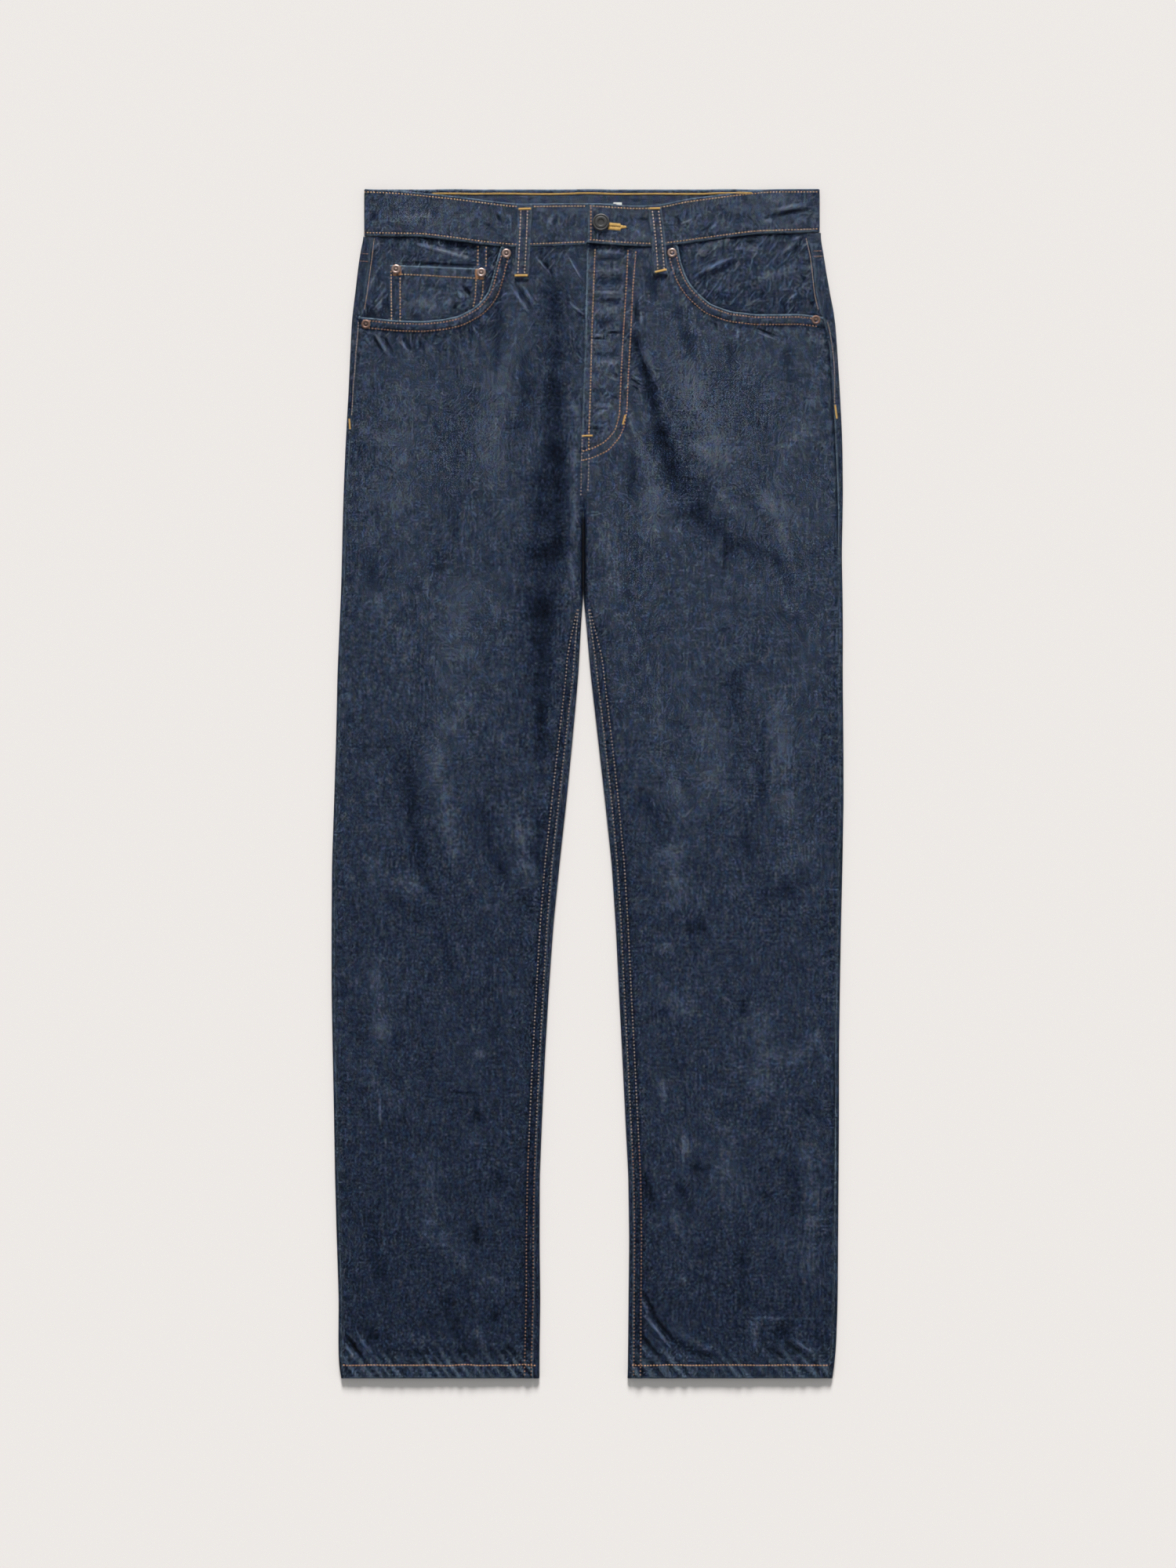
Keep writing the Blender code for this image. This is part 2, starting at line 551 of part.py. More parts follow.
def front_row(side, y, count):
    """x of a front panel's columns at y, from the side seam to the fly or the inseam."""
    leg = LEGS[side]
    if y >= CROTCH[1]:
        edge = float(at(FLY, "edge", y))
        if side > 0:
            ends = [edge + 2 * FLY_LAP, edge + FLY_LAP, edge]
        else:
            under = float(at(FLY, "underlap", y))
            beside = 1.0 if under > 1.0 else FLY_UNDER_REACH / 2
            ends = [-edge + FLY_UNDER_REACH, -edge + beside, -edge - under]
    else:
        inner = side * at(LEVELS, leg + "_in", y) + at(LEVELS, leg + "_inseam", y) + SEAM_GAP
        ends = [inner + INSEAM_COLUMNS[0], inner + INSEAM_COLUMNS[1], inner]
    even = np.linspace(side * seam_x(side, y), ends[0], count - 2)
    return side * np.concatenate([even, ends[1:]])


def make_front(side, carriers, finish):
    """Front panel: its top row follows the pocket mouth and then the waistband."""
    top = [(seam_x(side, MOUTHS[side][0][1]), MOUTHS[side][0][1])] + MOUTHS[side][1:]
    top += [(x, float(edge_at(BAND_BOTTOMS[side], x)) - BAND_GAP) for x in FRONT_TOP_X[side]]
    count = len(top)
    levels = LEVELS["y"][LEVELS["y"] <= HIP_LEVELS[-1]]
    sections = [np.stack([front_row(side, y, count), np.full(count, y)], axis=1) for y in levels]
    rows = between(np.array(top), sections[0], 4)
    for start, end in zip(sections[:-1], sections[1:]):
        rows += between(start, end, 2 if start[0, 1] - end[0, 1] > LONG_STEP else 1)
    grid = np.array(rows + [sections[-1]])
    under = front_under(grid[..., 0], grid[..., 1], side)
    layered = np.mean(grid[..., 1], axis=1) > LAYERS_END
    clear = resting(grid[layered], carriers, SEAM_GAP)
    under[layered, 2:] = np.maximum(under[layered], clear)[:, 2:]
    outer = with_height(grid[..., 0], grid[..., 1], under + thickness(grid[..., 1]))
    inner = with_height(grid[..., 0], grid[..., 1], under)
    return cloth_wall("front_" + LEGS[side], outer, inner, finish)


def make_facing(side, carriers, finish):
    """Pocket facing, from the waistband to just under the pocket mouth."""
    mouth, band = MOUTHS[side], BAND_BOTTOMS[side]
    points = np.array(mouth[:-1])
    along = np.gradient(points, axis=0)
    along /= np.linalg.norm(along, axis=1)[:, None]
    under_front = -side * np.stack([along[:, 1], -along[:, 0]], axis=1)
    reach = np.array([-SEAM_GAP, -SEAM_GAP] + [FACING_TUCK] * (len(points) - 2))
    bottom = points + under_front * reach[:, None]
    bottom[0] = (seam_x(side, MOUTH_CORNER_Y), MOUTH_CORNER_Y)
    top_x = np.linspace(seam_x(side, band[0][1]), mouth[-1][0] - side * FACING_TUCK, len(points))
    top = np.stack([top_x, edge_at(band, top_x) - BAND_GAP], axis=1)
    levels = np.array([top[0, 1], *FACING_LEVELS, bottom[0, 1]])
    shares = (levels[0] - levels) / (levels[0] - levels[-1])
    grid = np.array([top + (bottom - top) * share for share in shares])
    for row in grid:
        row[0, 0] = seam_x(side, row[0, 1])
    under = resting(grid, carriers, SEAM_GAP)
    under[:, 0] = ROLL - DENIM
    under[:, 1] = DENIM + SETTLE
    outer = with_height(grid[..., 0], grid[..., 1], under + DENIM)
    inner = with_height(grid[..., 0], grid[..., 1], under)
    return cloth_wall("pocket_facing_" + LEGS[side], outer, inner, finish)


def make_coin_pocket(facing, finish):
    """Coin pocket, laid on the right facing and tucked under the pocket mouth."""
    low = np.array(COIN_LOW)
    top = np.linspace(*COIN_TOP, len(low))
    grid = np.array(between(top, low, 5) + [low])
    under = resting(grid, [facing], SEAM_GAP)
    outer = with_height(grid[..., 0], grid[..., 1], under + DENIM)
    inner = with_height(grid[..., 0], grid[..., 1], under)
    return cloth_wall("coin_pocket", outer, inner, finish)


# ---- waistband and belt loops --------------------------------------------------------------------------

def band_under(x, lapped):
    """Underside of the waistband on the front; lapped for the buttonhole end, which lies on the other."""
    single = BAND + SETTLE + lift(x, np.full(np.shape(x), BAND_MIDDLE_Y), *BAND_LIFT_FRONT)
    if not lapped:
        return single
    over = single + BAND + SETTLE
    return over + (single - over) * ease((x - BAND_UNDERLAP - BAND_LAP_BLEND[0]) / BAND_LAP_BLEND[1])


def make_waistband(finish):
    """The waistband strip, from the buttonhole end round the left side, the back and the right side."""
    left_x = [0.0, 4.0, 8.0, 16.0, 24.0, 32.0, 43.0, 54.0, 66.0, 78.0, 96.0, 114.0, 132.0, 150.0, 170.0,
              190.0]
    right_x = [-187.0, -167.0, -147.0, -127.0, -108.0, -88.0, -67.0, -48.0, -30.0, -14.0, -3.0, 0.0, 13.0,
               BAND_UNDERLAP]
    beside_loop = LOOP_WIDTH / 2 + BAND_LIFT_BACK[0]
    near_loops = [x + offset for (x, _), _ in BACK_LOOPS.values()
                  for offset in (-beside_loop - 9.5, -beside_loop, beside_loop, beside_loop + 9.5)]
    back_x = sorted(near_loops + [-190.0, -165.0, -85.0, -50.0, 50.0, 85.0, 165.0, 195.0], reverse=True)
    radius = (BAND + SETTLE + BAND) / 2
    half_waist = 205.0
    quarter_turns = [math.pi * k / 4 for k in range(5)]
    outer, inner, spans = [], [], []

    def add(x, z_outer, z_inner, top, bottom):
        outer.append((x, z_outer))
        inner.append((x, z_inner))
        spans.append((bottom, top))

    for x in left_x:
        under = float(band_under(x, True))
        add(x, under + BAND, under, edge_at(BAND_TOP_LEFT, x), edge_at(BAND_BOTTOM_LEFT, x))
    edges = {1: (BAND_TOP_LEFT[0][1], BAND_BOTTOM_LEFT[0][1]),
             -1: (BAND_TOP_RIGHT[0][1], BAND_BOTTOM_RIGHT[0][1])}

    def add_turn(side, angles):
        reach = BAND_REACH[side]
        top, bottom = edges[side]
        for a in angles:
            across, up = math.sin(a), math.cos(a)
            outer.append((side * (reach - radius + radius * across), radius + radius * up))
            inner.append((side * (reach - radius + (radius - BAND) * across), radius + (radius - BAND) * up))
            spans.append((bottom, top))

    add_turn(1, quarter_turns)
    for x in back_x:
        raised = float(lift(x, BAND_MIDDLE_Y, *BAND_LIFT_BACK))
        low = BAND_BACK_Y + (edges[1 if x > 0 else -1][1] - BAND_BACK_Y) * abs(x) / half_waist
        add(x, raised, raised + BAND, WAIST_Y, low)
    add_turn(-1, list(reversed(quarter_turns)))
    for x in right_x:
        under = float(band_under(x, False))
        low = edge_at(BAND_BOTTOM_RIGHT, x) if x < -1.0 else BAND_UNDERLAP_Y
        add(x, under + BAND, under, edge_at(BAND_TOP_RIGHT, x), low)
    spans = np.array(spans)
    skins = []
    for path in (outer, inner):
        path = np.array(path)
        across, up = path[:, 0], path[:, 1]
        taper = [1.0 + BAND_TAPER[0] / half_waist, 1.0, 1.0 + BAND_TAPER[1] / half_waist]
        rows = [with_height(across * scale, spans[:, 0] + (spans[:, 1] - spans[:, 0]) * k / 2, up)
                for k, scale in enumerate(taper)]
        skins.append(np.array(rows))
    return cloth_wall("waistband", skins[0], skins[1], finish)


def make_front_loop(name, ends, carriers, finish):
    """A belt loop over the waistband, tacked at both ends."""
    (x0, y0), (x1, y1) = ends
    steps, width = LOOP_STEPS, LOOP_WIDTH
    centre = np.array([(x0 + (x1 - x0) * k / steps, y0 + (y1 - y0) * k / steps) for k in range(steps + 1)])
    across = np.array([-width / 2, 0.0, width / 2])
    pitch = abs(y1 - y0) / steps
    under = []
    for x, y in centre:
        window = [top_of(carriers, x + dx, y + dy)
                  for dx in np.linspace(-width / 2, width / 2, 5) for dy in np.linspace(-pitch, pitch, 7)]
        under.append(max(window) + SEAM_GAP)
    under = np.array(under) + LOOP_BOW * np.sin(np.pi * np.linspace(0.0, 1.0, steps + 1)) ** 2
    rows_x = centre[:, 0][:, None] + across
    rows_y = centre[:, 1][:, None] + np.zeros(3)
    crown = np.array([0.0, LOOP_CROWN, 0.0])
    outer = with_height(rows_x, rows_y, under[:, None] + LOOP + crown)
    inner = with_height(rows_x, rows_y, under[:, None] + np.zeros(3))
    return cloth_wall(name, outer, inner, finish)


def flat_patch(name, corners, low, high, finish):
    """A flat piece of cloth from its outline."""
    bm = bmesh.new()
    base = bm.faces.new([bm.verts.new((x * MM, y * MM, low * MM)) for x, y in corners])
    raised = bmesh.ops.extrude_face_region(bm, geom=[base])
    moved = [item for item in raised["geom"] if isinstance(item, bmesh.types.BMVert)]
    bmesh.ops.translate(bm, verts=moved, vec=(0.0, 0.0, (high - low) * MM))
    bmesh.ops.recalc_face_normals(bm, faces=bm.faces)
    mesh = bpy.data.meshes.new(name)
    bm.to_mesh(mesh)
    bm.free()
    return add_object(name, mesh, finish)


# ---- metal ---------------------------------------------------------------------------------------------

def turned(name, profile, steps, place, finish):
    """A turned piece: its profile (radius, height), top to bottom, spun round Z and set in place."""
    mesh = bpy.data.meshes.new(name)
    bm = bmesh.new()
    chain = [bm.verts.new((radius * MM, 0.0, height * MM)) for radius, height in profile]
    for start, end in zip(chain[:-1], chain[1:]):
        bm.edges.new((start, end))
    bm.to_mesh(mesh)
    bm.free()
    made = add_object(name, mesh, finish)
    spin = made.modifiers.new("turn", "SCREW")
    spin.steps = steps
    spin.render_steps = steps
    spin.use_merge_vertices = True
    spin.merge_threshold = 0.00001
    made.matrix_world = place
    return made


def rivet(name, x, y, carriers, finish):
    """A domed rivet, tilted to lie on what carries it."""
    reach = RIVET_RADIUS
    samples = [(x + reach * math.cos(a), y + reach * math.sin(a)) for a in np.arange(12) * math.pi / 6]
    heights = np.array([top_of(carriers, px, py) for px, py in samples])
    heights = np.maximum(heights, heights.max() - RIVET_SINK)
    offsets = np.array([[px - x, py - y, 1.0] for px, py in samples])
    (slope_x, slope_y, _), *_ = np.linalg.lstsq(offsets, heights, rcond=None)
    normal = Vector((-slope_x, -slope_y, 1.0)).normalized()
    over = max(height - slope_x * dx - slope_y * dy for height, (dx, dy, _) in zip(heights, offsets))
    over = max(over, top_of(carriers, x, y))
    place = Matrix.Translation(Vector((x, y, over + SEAM_GAP)) * MM)
    place = place @ Vector((0.0, 0.0, 1.0)).rotation_difference(normal).to_matrix().to_4x4()
    profile = [(0.0, 1.4), (0.9, 1.3), (1.5, 0.7), (3.1, 1.1), (reach, 0.4), (reach, 0.0), (0.0, 0.0)]
    return turned(name, profile, 12, place, finish)


def make_button(band, finish):
    """The waistband button: its shank goes through the buttonhole end and stands on the button end."""
    x, y = BUTTON
    under = float(band_under(x, False)) + BAND
    top = max(top_of([band], x + BUTTON_RADIUS * math.cos(a), y + BUTTON_RADIUS * math.sin(a))
              for a in np.arange(16) * math.pi / 8)
    base = top + SEAM_GAP
    foot = under + SEAM_GAP - base
    profile = [(0.0, 1.9), (2.2, 1.9), (2.7, 2.4), (5.0, 2.5), (6.0, 2.2), (7.2, 2.4), (BUTTON_RADIUS, 1.8),
               (BUTTON_RADIUS - 0.2, 0.6), (6.6, 0.0), (SHANK_RADIUS, 0.0), (SHANK_RADIUS, foot), (0.0, foot)]
    return turned("button", profile, 24, Matrix.Translation(Vector((x, y, base)) * MM), finish)


def cut_buttonhole(band):
    """Open the buttonhole end of the waistband for the button's shank."""
    x, y = BUTTON
    low = float(band_under(x, False)) + BAND + 0.5 * SETTLE
    high = float(band_under(x, True)) + BAND + 2.0
    bpy.ops.mesh.primitive_cylinder_add(vertices=16, radius=HOLE_RADIUS * MM, depth=(high - low) * MM,
                                        location=(x * MM, y * MM, (low + high) / 2 * MM))
    cutter = bpy.context.active_object
    cutter.name = "buttonhole_cutter"
    cutter.hide_render = True
    cutter.display_type = "WIRE"
    for owner in list(cutter.users_collection):
        owner.objects.unlink(cutter)
    cutters.objects.link(cutter)
    hole = band.modifiers.new("buttonhole", "BOOLEAN")
    hole.operation = "DIFFERENCE"
    hole.object = cutter


# ---- the jeans -----------------------------------------------------------------------------------------

clear_scene()
collection = bpy.data.collections.new("straight_leg_jeans")
cutters = bpy.data.collections.new("cutters")
bpy.context.scene.collection.children.link(collection)
bpy.context.scene.collection.children.link(cutters)
surfaces = {}

denim = material("denim", (0.034, 0.045, 0.075), 0.9)
copper = material("rivet_copper", (0.55, 0.38, 0.32), 0.35, 1.0)
gunmetal = material("button_gunmetal", (0.11, 0.105, 0.105), 0.4, 1.0)
white = material("label_white", (0.8, 0.79, 0.76), 0.8)

for side in (-1, 1):
    under_front = [laid(make_back(side, denim)), laid(make_yoke(side, denim))]
    under_front.append(laid(make_facing(side, under_front, denim)))
    if side < 0:
        under_front.append(laid(make_coin_pocket(under_front[-1], denim)))
    laid(make_front(side, under_front, denim))
    flat_patch("back_pocket_" + LEGS[side], pocket_outline(side), 0.0, PATCH, denim)
waistband = laid(make_waistband(denim))

for name, ends in FRONT_LOOPS.items():
    make_front_loop(name, ends, [waistband, bpy.data.objects["front_" + name.rsplit("_", 1)[1]]], denim)
for name, ((x, top), (_, bottom)) in BACK_LOOPS.items():
    half = LOOP_WIDTH / 2
    corners = [(x - half, bottom), (x + half, bottom), (x + half, top), (x - half, top)]
    flat_patch(name, corners, 0.0, LOOP, denim)

rivet_carriers = [bpy.data.objects[name] for name in ("front_right", "front_left", "coin_pocket")]
for name, (x, y) in RIVETS.items():
    rivet(name, x, y, rivet_carriers, copper)
make_button(waistband, gunmetal)
cut_buttonhole(waistband)

(label_x0, label_y0), (label_x1, label_y1) = LABEL
label_corners = [(label_x0, label_y0), (label_x1, label_y0), (label_x1, label_y1), (label_x0, label_y1)]
label_low = BAND + SEAM_GAP
flat_patch("inner_label", label_corners, label_low, label_low + LABEL_THICKNESS, white)
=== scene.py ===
import functools
import math

import bpy
import numpy as np
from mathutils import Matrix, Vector
from mathutils.bvhtree import BVHTree


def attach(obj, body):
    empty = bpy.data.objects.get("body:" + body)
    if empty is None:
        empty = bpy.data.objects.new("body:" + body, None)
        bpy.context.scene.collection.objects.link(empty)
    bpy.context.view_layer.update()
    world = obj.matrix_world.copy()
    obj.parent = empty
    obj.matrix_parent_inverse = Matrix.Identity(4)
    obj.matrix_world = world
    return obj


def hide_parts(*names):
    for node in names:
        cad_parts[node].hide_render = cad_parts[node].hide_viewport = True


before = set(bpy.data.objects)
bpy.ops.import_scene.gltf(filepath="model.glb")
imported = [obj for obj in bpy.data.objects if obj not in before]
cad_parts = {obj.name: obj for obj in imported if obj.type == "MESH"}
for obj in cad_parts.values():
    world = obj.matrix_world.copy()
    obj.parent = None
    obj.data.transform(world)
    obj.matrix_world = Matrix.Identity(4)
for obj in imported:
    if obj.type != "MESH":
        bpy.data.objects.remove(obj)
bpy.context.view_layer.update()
mm = 0.001
sideNames = {-1: "right", 1: "left"}        # the wearer's side, by the sign of x
draws = np.random.default_rng(23)

body = {
    "roll": 3.8,                     # height of a leg's rolled side
    "hemRoll": 5.4,                  # the same at the hem
    "hemStart": -515.0,              # where the leg starts to thicken
    "hemStitch": -532.8,
    "hemEnd": -545.0,
    "wall": 1.2,
    "hemWall": 2.4,
    "waist": 545.8,
    "crotch": (-4.4, 252.0),
    "parted": 241.0,                 # below this the legs are apart
    "flatFrom": 244.0,               # above this the inner edges lie flat
    "inseamOnTop": 164.0,            # below this the inseam lies on top of the leg
    "backTop": (2.0, 503.0),         # centre back seam at the waistband
    "hipLevel": 400.0,               # below this the rows of a panel run straight across
}


# Numbers and lines

def ease(t):
    t = np.clip(t, 0.0, 1.0)
    return t * t * (3.0 - 2.0 * t)


def joined(*parts):        # coordinates as the last axis
    return np.stack(parts, axis=-1)


def bell(distance, width):
    return np.exp(-(distance / width) ** 2)


def most(*values):
    return functools.reduce(np.maximum, values)


def softened(values, passes, axis=0):
    values = np.moveaxis(np.array(values, float), axis, 0)
    for _ in range(passes):
        first = 2.0 * values[:1] - values[1:2]
        last = 2.0 * values[-1:] - values[-2:-1]
        padded = np.concatenate([first, values, last])
        values = (padded[:-2] + 2.0 * padded[1:-1] + padded[2:]) / 4.0
    return np.moveaxis(values, 0, axis)


def lineLength(line):
    return np.concatenate([[0.0], np.cumsum(np.hypot(*np.diff(line, axis=0).T))])


def onLine(line, distances):        # points at distances along a line
    along = lineLength(line)
    return np.stack([np.interp(distances, along, line[:, k]) for k in (0, 1)], axis=1)


def smoothLine(points, passes=24):        # a point about every millimetre
    points = np.array(points, float)
    length = lineLength(points)[-1]
    return softened(onLine(points, np.linspace(0.0, length, max(4, int(round(length)) + 1))), passes)


def offsetLine(line, distance):        # to the left of the way it runs
    run = np.gradient(line, axis=0)
    run /= np.hypot(*run.T)[:, None]
    return line + distance * run[:, ::-1] * [-1.0, 1.0]


def nearLine(x, y, line):        # distance to a line, and how far along it the nearest point lies
    best = np.full(np.shape(x), 1e9)
    place = np.zeros(np.shape(x))
    start = 0.0
    for (x0, y0), (x1, y1) in zip(line[:-1], line[1:]):
        dx, dy = x1 - x0, y1 - y0
        length = math.hypot(dx, dy)
        t = np.clip(((x - x0) * dx + (y - y0) * dy) / length ** 2, 0.0, 1.0)
        gap = np.hypot(x - x0 - t * dx, y - y0 - t * dy)
        closer = gap < best
        best = np.where(closer, gap, best)
        place = np.where(closer, start + t * length, place)
        start += length
    return best, place


def ripple(s, seed, shortest=6.0, longest=17.0):        # an uneven wave, about -1 to 1
    waves = np.random.default_rng(seed)
    total = np.zeros(np.shape(s))
    for _ in range(5):
        total += np.sin(2.0 * math.pi * s / waves.uniform(shortest, longest) + waves.uniform(0.0, 6.3))
    return total / 2.4


def swell(x, y, seed, size):        # a slow uneven swell over a panel, about -1 to 1
    waves = np.random.default_rng(seed)
    total = np.zeros(np.broadcast(x, y).shape)
    for _ in range(6):
        angle = waves.uniform(0.0, math.pi)
        pitch = size * waves.uniform(0.6, 1.6)
        across = x * math.cos(angle) + 0.6 * y * math.sin(angle)
        total += np.sin(2.0 * math.pi * across / pitch + waves.uniform(0.0, 6.3))
    return total / 3.0


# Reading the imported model

def treeOf(*names):
    points, faces = [], []
    for name in names:
        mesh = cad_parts[name].data
        start = len(points)
        points += [vertex.co.copy() for vertex in mesh.vertices]
        faces += [[start + i for i in face.vertices] for face in mesh.polygons]
    return BVHTree.FromPolygons(points, faces)


def castHeights(tree, x, y, under=False):
    heights = np.full(np.shape(x), np.nan)
    start, towards = (-1.0, Vector((0, 0, 1))) if under else (1.0, Vector((0, 0, -1)))
    for place in np.ndindex(heights.shape):
        hit = tree.ray_cast(Vector((x[place] * mm, y[place] * mm, start)), towards)[0]
        if hit is not None:
            heights[place] = hit.z / mm
    return heights


def filled(heights):        # points just past an edge take the height of the nearest one in their row
    known = [not np.isnan(row).all() for row in heights]
    for row in heights:
        good = np.flatnonzero(~np.isnan(row))
        if len(good):
            row[:] = np.interp(np.arange(len(row)), good, row[good])
    good = np.flatnonzero(known)
    for j in range(heights.shape[1]):
        heights[:, j] = np.interp(np.arange(len(heights)), good, heights[good, j])
    return heights


def draped(tree, x, y, down, across):        # smoothed heights of what lies under a grid
    return softened(softened(filled(castHeights(tree, x, y)), down, 0), across, 1)


def castAcross(tree, startX, direction, levels, heights):
    found = np.full(len(levels), np.nan)
    for i, (y, z) in enumerate(zip(levels, heights)):
        hit = tree.ray_cast(Vector((startX * mm, y * mm, z * mm)), Vector((direction, 0, 0)))[0]
        if hit is not None:
            found[i] = hit.x / mm
    good = np.flatnonzero(~np.isnan(found))
    return np.interp(np.arange(len(levels)), good, found[good])


def thickening(y):
    return np.clip((body["hemStart"] - y) / 19.0, 0.0, 1.0)


def rollRadius(y):
    return (body["roll"] + (body["hemRoll"] - body["roll"]) * thickening(y)) / 2.0


def wallAt(y):
    return body["wall"] + (body["hemWall"] - body["wall"]) * thickening(y)


levels = np.arange(-544.5, 501.0, 1.0)


def readOutline(side):        # x of a leg's two sides at all levels, and how far in from each its front starts
    backTree = treeOf("back_" + sideNames[side], "yoke_" + sideNames[side])
    frontTree = treeOf("front_" + sideNames[side], "pocket_facing_" + sideNames[side])
    radius = rollRadius(levels)
    within = 2.0 * radius - 0.6
    beyond, crotch = side * 400.0, body["crotch"][0]
    outer = castAcross(backTree, beyond, -side, levels, radius)
    seam = castAcross(frontTree, beyond, -side, levels, within)
    inner = castAcross(backTree, crotch, side, levels, radius)
    inseam = castAcross(frontTree, crotch, side, levels, within)
    parted = levels < body["parted"]
    inner = np.where(parted, inner, crotch + 0.2 * side)
    inseamGap = np.where(parted, np.abs(inseam - inner), 3.0)
    return {
        "outer": softened(outer, 120),
        "seamGap": softened(np.abs(outer - seam), 60),
        "inner": softened(inner, 60),
        "inseamGap": softened(inseamGap, 60),
    }


outlines = {side: readOutline(side) for side in sideNames}


def closeLegs():        # below the crotch the legs lie against each other
    gap = outlines[1]["inner"] - outlines[-1]["inner"]
    closer = (gap - np.maximum(gap - 1.3 * ease((levels - 140.0) / 36.0), 0.06)) / 2.0
    for side in sideNames:
        outlines[side]["inner"] = outlines[side]["inner"] - side * np.maximum(closer, 0.0)


closeLegs()


def outlineAt(side, name, y):
    return np.interp(y, levels, outlines[side][name])


def seamX(side, y):        # x of the front's edge at the side seam
    return outlineAt(side, "outer", y) - side * outlineAt(side, "seamGap", y)


def seatX(y):        # x of the seam down the middle of the seat
    (x0, y0), (x1, y1) = body["crotch"], body["backTop"]
    return x0 + (x1 - x0) * (y - y0) / (y1 - y0)


def turnAt(y):        # how far the inner side has rolled up, from 0 at the rise to 1 below the crotch
    return 1.0 - ease((y - 234.0) / 18.0)


def innerRadius(y):
    return np.maximum(turnAt(y) * rollRadius(y), 0.05)


def seamOnRoll(side, y):        # where the inseam lies along the roll: down its side near the crotch, then on top
    radius = innerRadius(y)
    down = ease((y - 146.0) / 22.0)
    onTop = -(outlineAt(side, "inseamGap", y) - radius)
    return onTop * (1.0 - down) + 0.5 * math.pi * radius * down


def rollPath(s, radius):        # distance from the side, and height, at s along a rolled side from its top
    angle = np.clip(s / radius, 0.0, math.pi)
    inward = radius * (1.0 - np.sin(angle)) + np.maximum(-s, 0.0) + np.maximum(s - math.pi * radius, 0.0)
    return inward, radius * (1.0 + np.cos(angle))


print("outline read from the packed model")


# Seam lines

mouths = {
    -1: smoothLine([(-211.5, 428.6), (-192.2, 426.6), (-175.7, 424.8), (-151.2, 424.1), (-132.5, 425.9),
                    (-118.1, 429.1), (-102.6, 437.4), (-95.0, 445.7), (-90.7, 452.9), (-86.4, 468.0),
                    (-83.5, 480.2), (-80.0, 492.3)], passes=16),
    1: smoothLine([(216.5, 428.2), (194.4, 431.0), (172.8, 430.6), (153.4, 430.6), (130.3, 433.4),
                   (112.3, 439.9), (99.4, 451.4), (93.6, 458.6), (89.0, 467.3), (85.0, 479.5),
                   (82.2, 493.9)], passes=16),
}
bandTops = {
    -1: smoothLine([(-206.0, 545.8), (-175.0, 544.4), (-146.9, 541.6), (-103.7, 536.6), (-67.0, 532.1),
                    (-21.6, 532.6), (30.0, 532.0)], passes=60),
    1: smoothLine([(-1.0, 532.2), (20.0, 531.2), (37.4, 530.1), (51.8, 530.1), (69.8, 531.9), (87.8, 536.2),
                   (114.5, 539.6), (140.4, 542.9), (166.3, 545.6), (214.0, 545.8)], passes=60),
}
bandBottoms = {
    -1: smoothLine([(-208.0, 502.8), (-151.2, 501.8), (-97.9, 494.8), (-67.0, 491.9), (-2.9, 494.1),
                    (4.0, 494.1)], passes=60),
    1: smoothLine([(-2.0, 495.9), (28.1, 493.6), (56.9, 492.5), (72.0, 493.4), (114.5, 499.0), (153.4, 504.2),
                   (215.0, 506.3)], passes=60),
}


def lineY(line, x):
    order = np.argsort(line[:, 0])
    return np.interp(x, line[order, 0], line[order, 1])


flyLine = smoothLine([(-0.6, 497.0), (-0.8, 460.0), (-1.4, 430.0), (-4.3, 357.0), (-5.8, 318.0), (-6.0, 295.0),
                      (-5.8, 272.0), (-5.0, 250.0)], passes=40)
flyUnderlap = [(252.0, -0.4), (272.0, 6.0), (295.0, 7.0), (318.0, 13.0), (357.0, 14.0), (500.0, 14.0)]


def flyEdge(y):
    return np.interp(y, flyLine[::-1, 1], flyLine[::-1, 0])


def frontInner(side, y):        # x of a front panel's inner edge, where it lies flat
    folded = outlineAt(side, "inner", y)
    edge = flyEdge(y)
    if side < 0:
        edge = edge + np.interp(y, *zip(*flyUnderlap))
    return folded + (edge - folded) * ease((y - body["flatFrom"]) / 10.0)


# Cloth

def active(kind, **options):
    bpy.ops.object.modifier_add(type=kind)
    modifier = bpy.context.object.modifiers[-1]
    for key, value in options.items():
        setattr(modifier, key, value)
    bpy.ops.object.modifier_apply(modifier=modifier.name)


def newPiece(name, primitive, **options):
    bpy.ops.object.select_all(action="DESELECT")
    primitive(**options)
    piece = bpy.context.object
    piece.name = name
    piece.data.name = name
    return piece


def meshPoints(mesh):
    places = np.zeros(len(mesh.vertices) * 3, np.float32)
    mesh.vertices.foreach_get("co", places)
    return places.reshape(-1, 3)


def addMark(mesh, name, values):        # one value a point, for the finishes to read
    mesh.attributes.new(name, "FLOAT", "POINT").data.foreach_set("value", values.astype(np.float32).ravel())


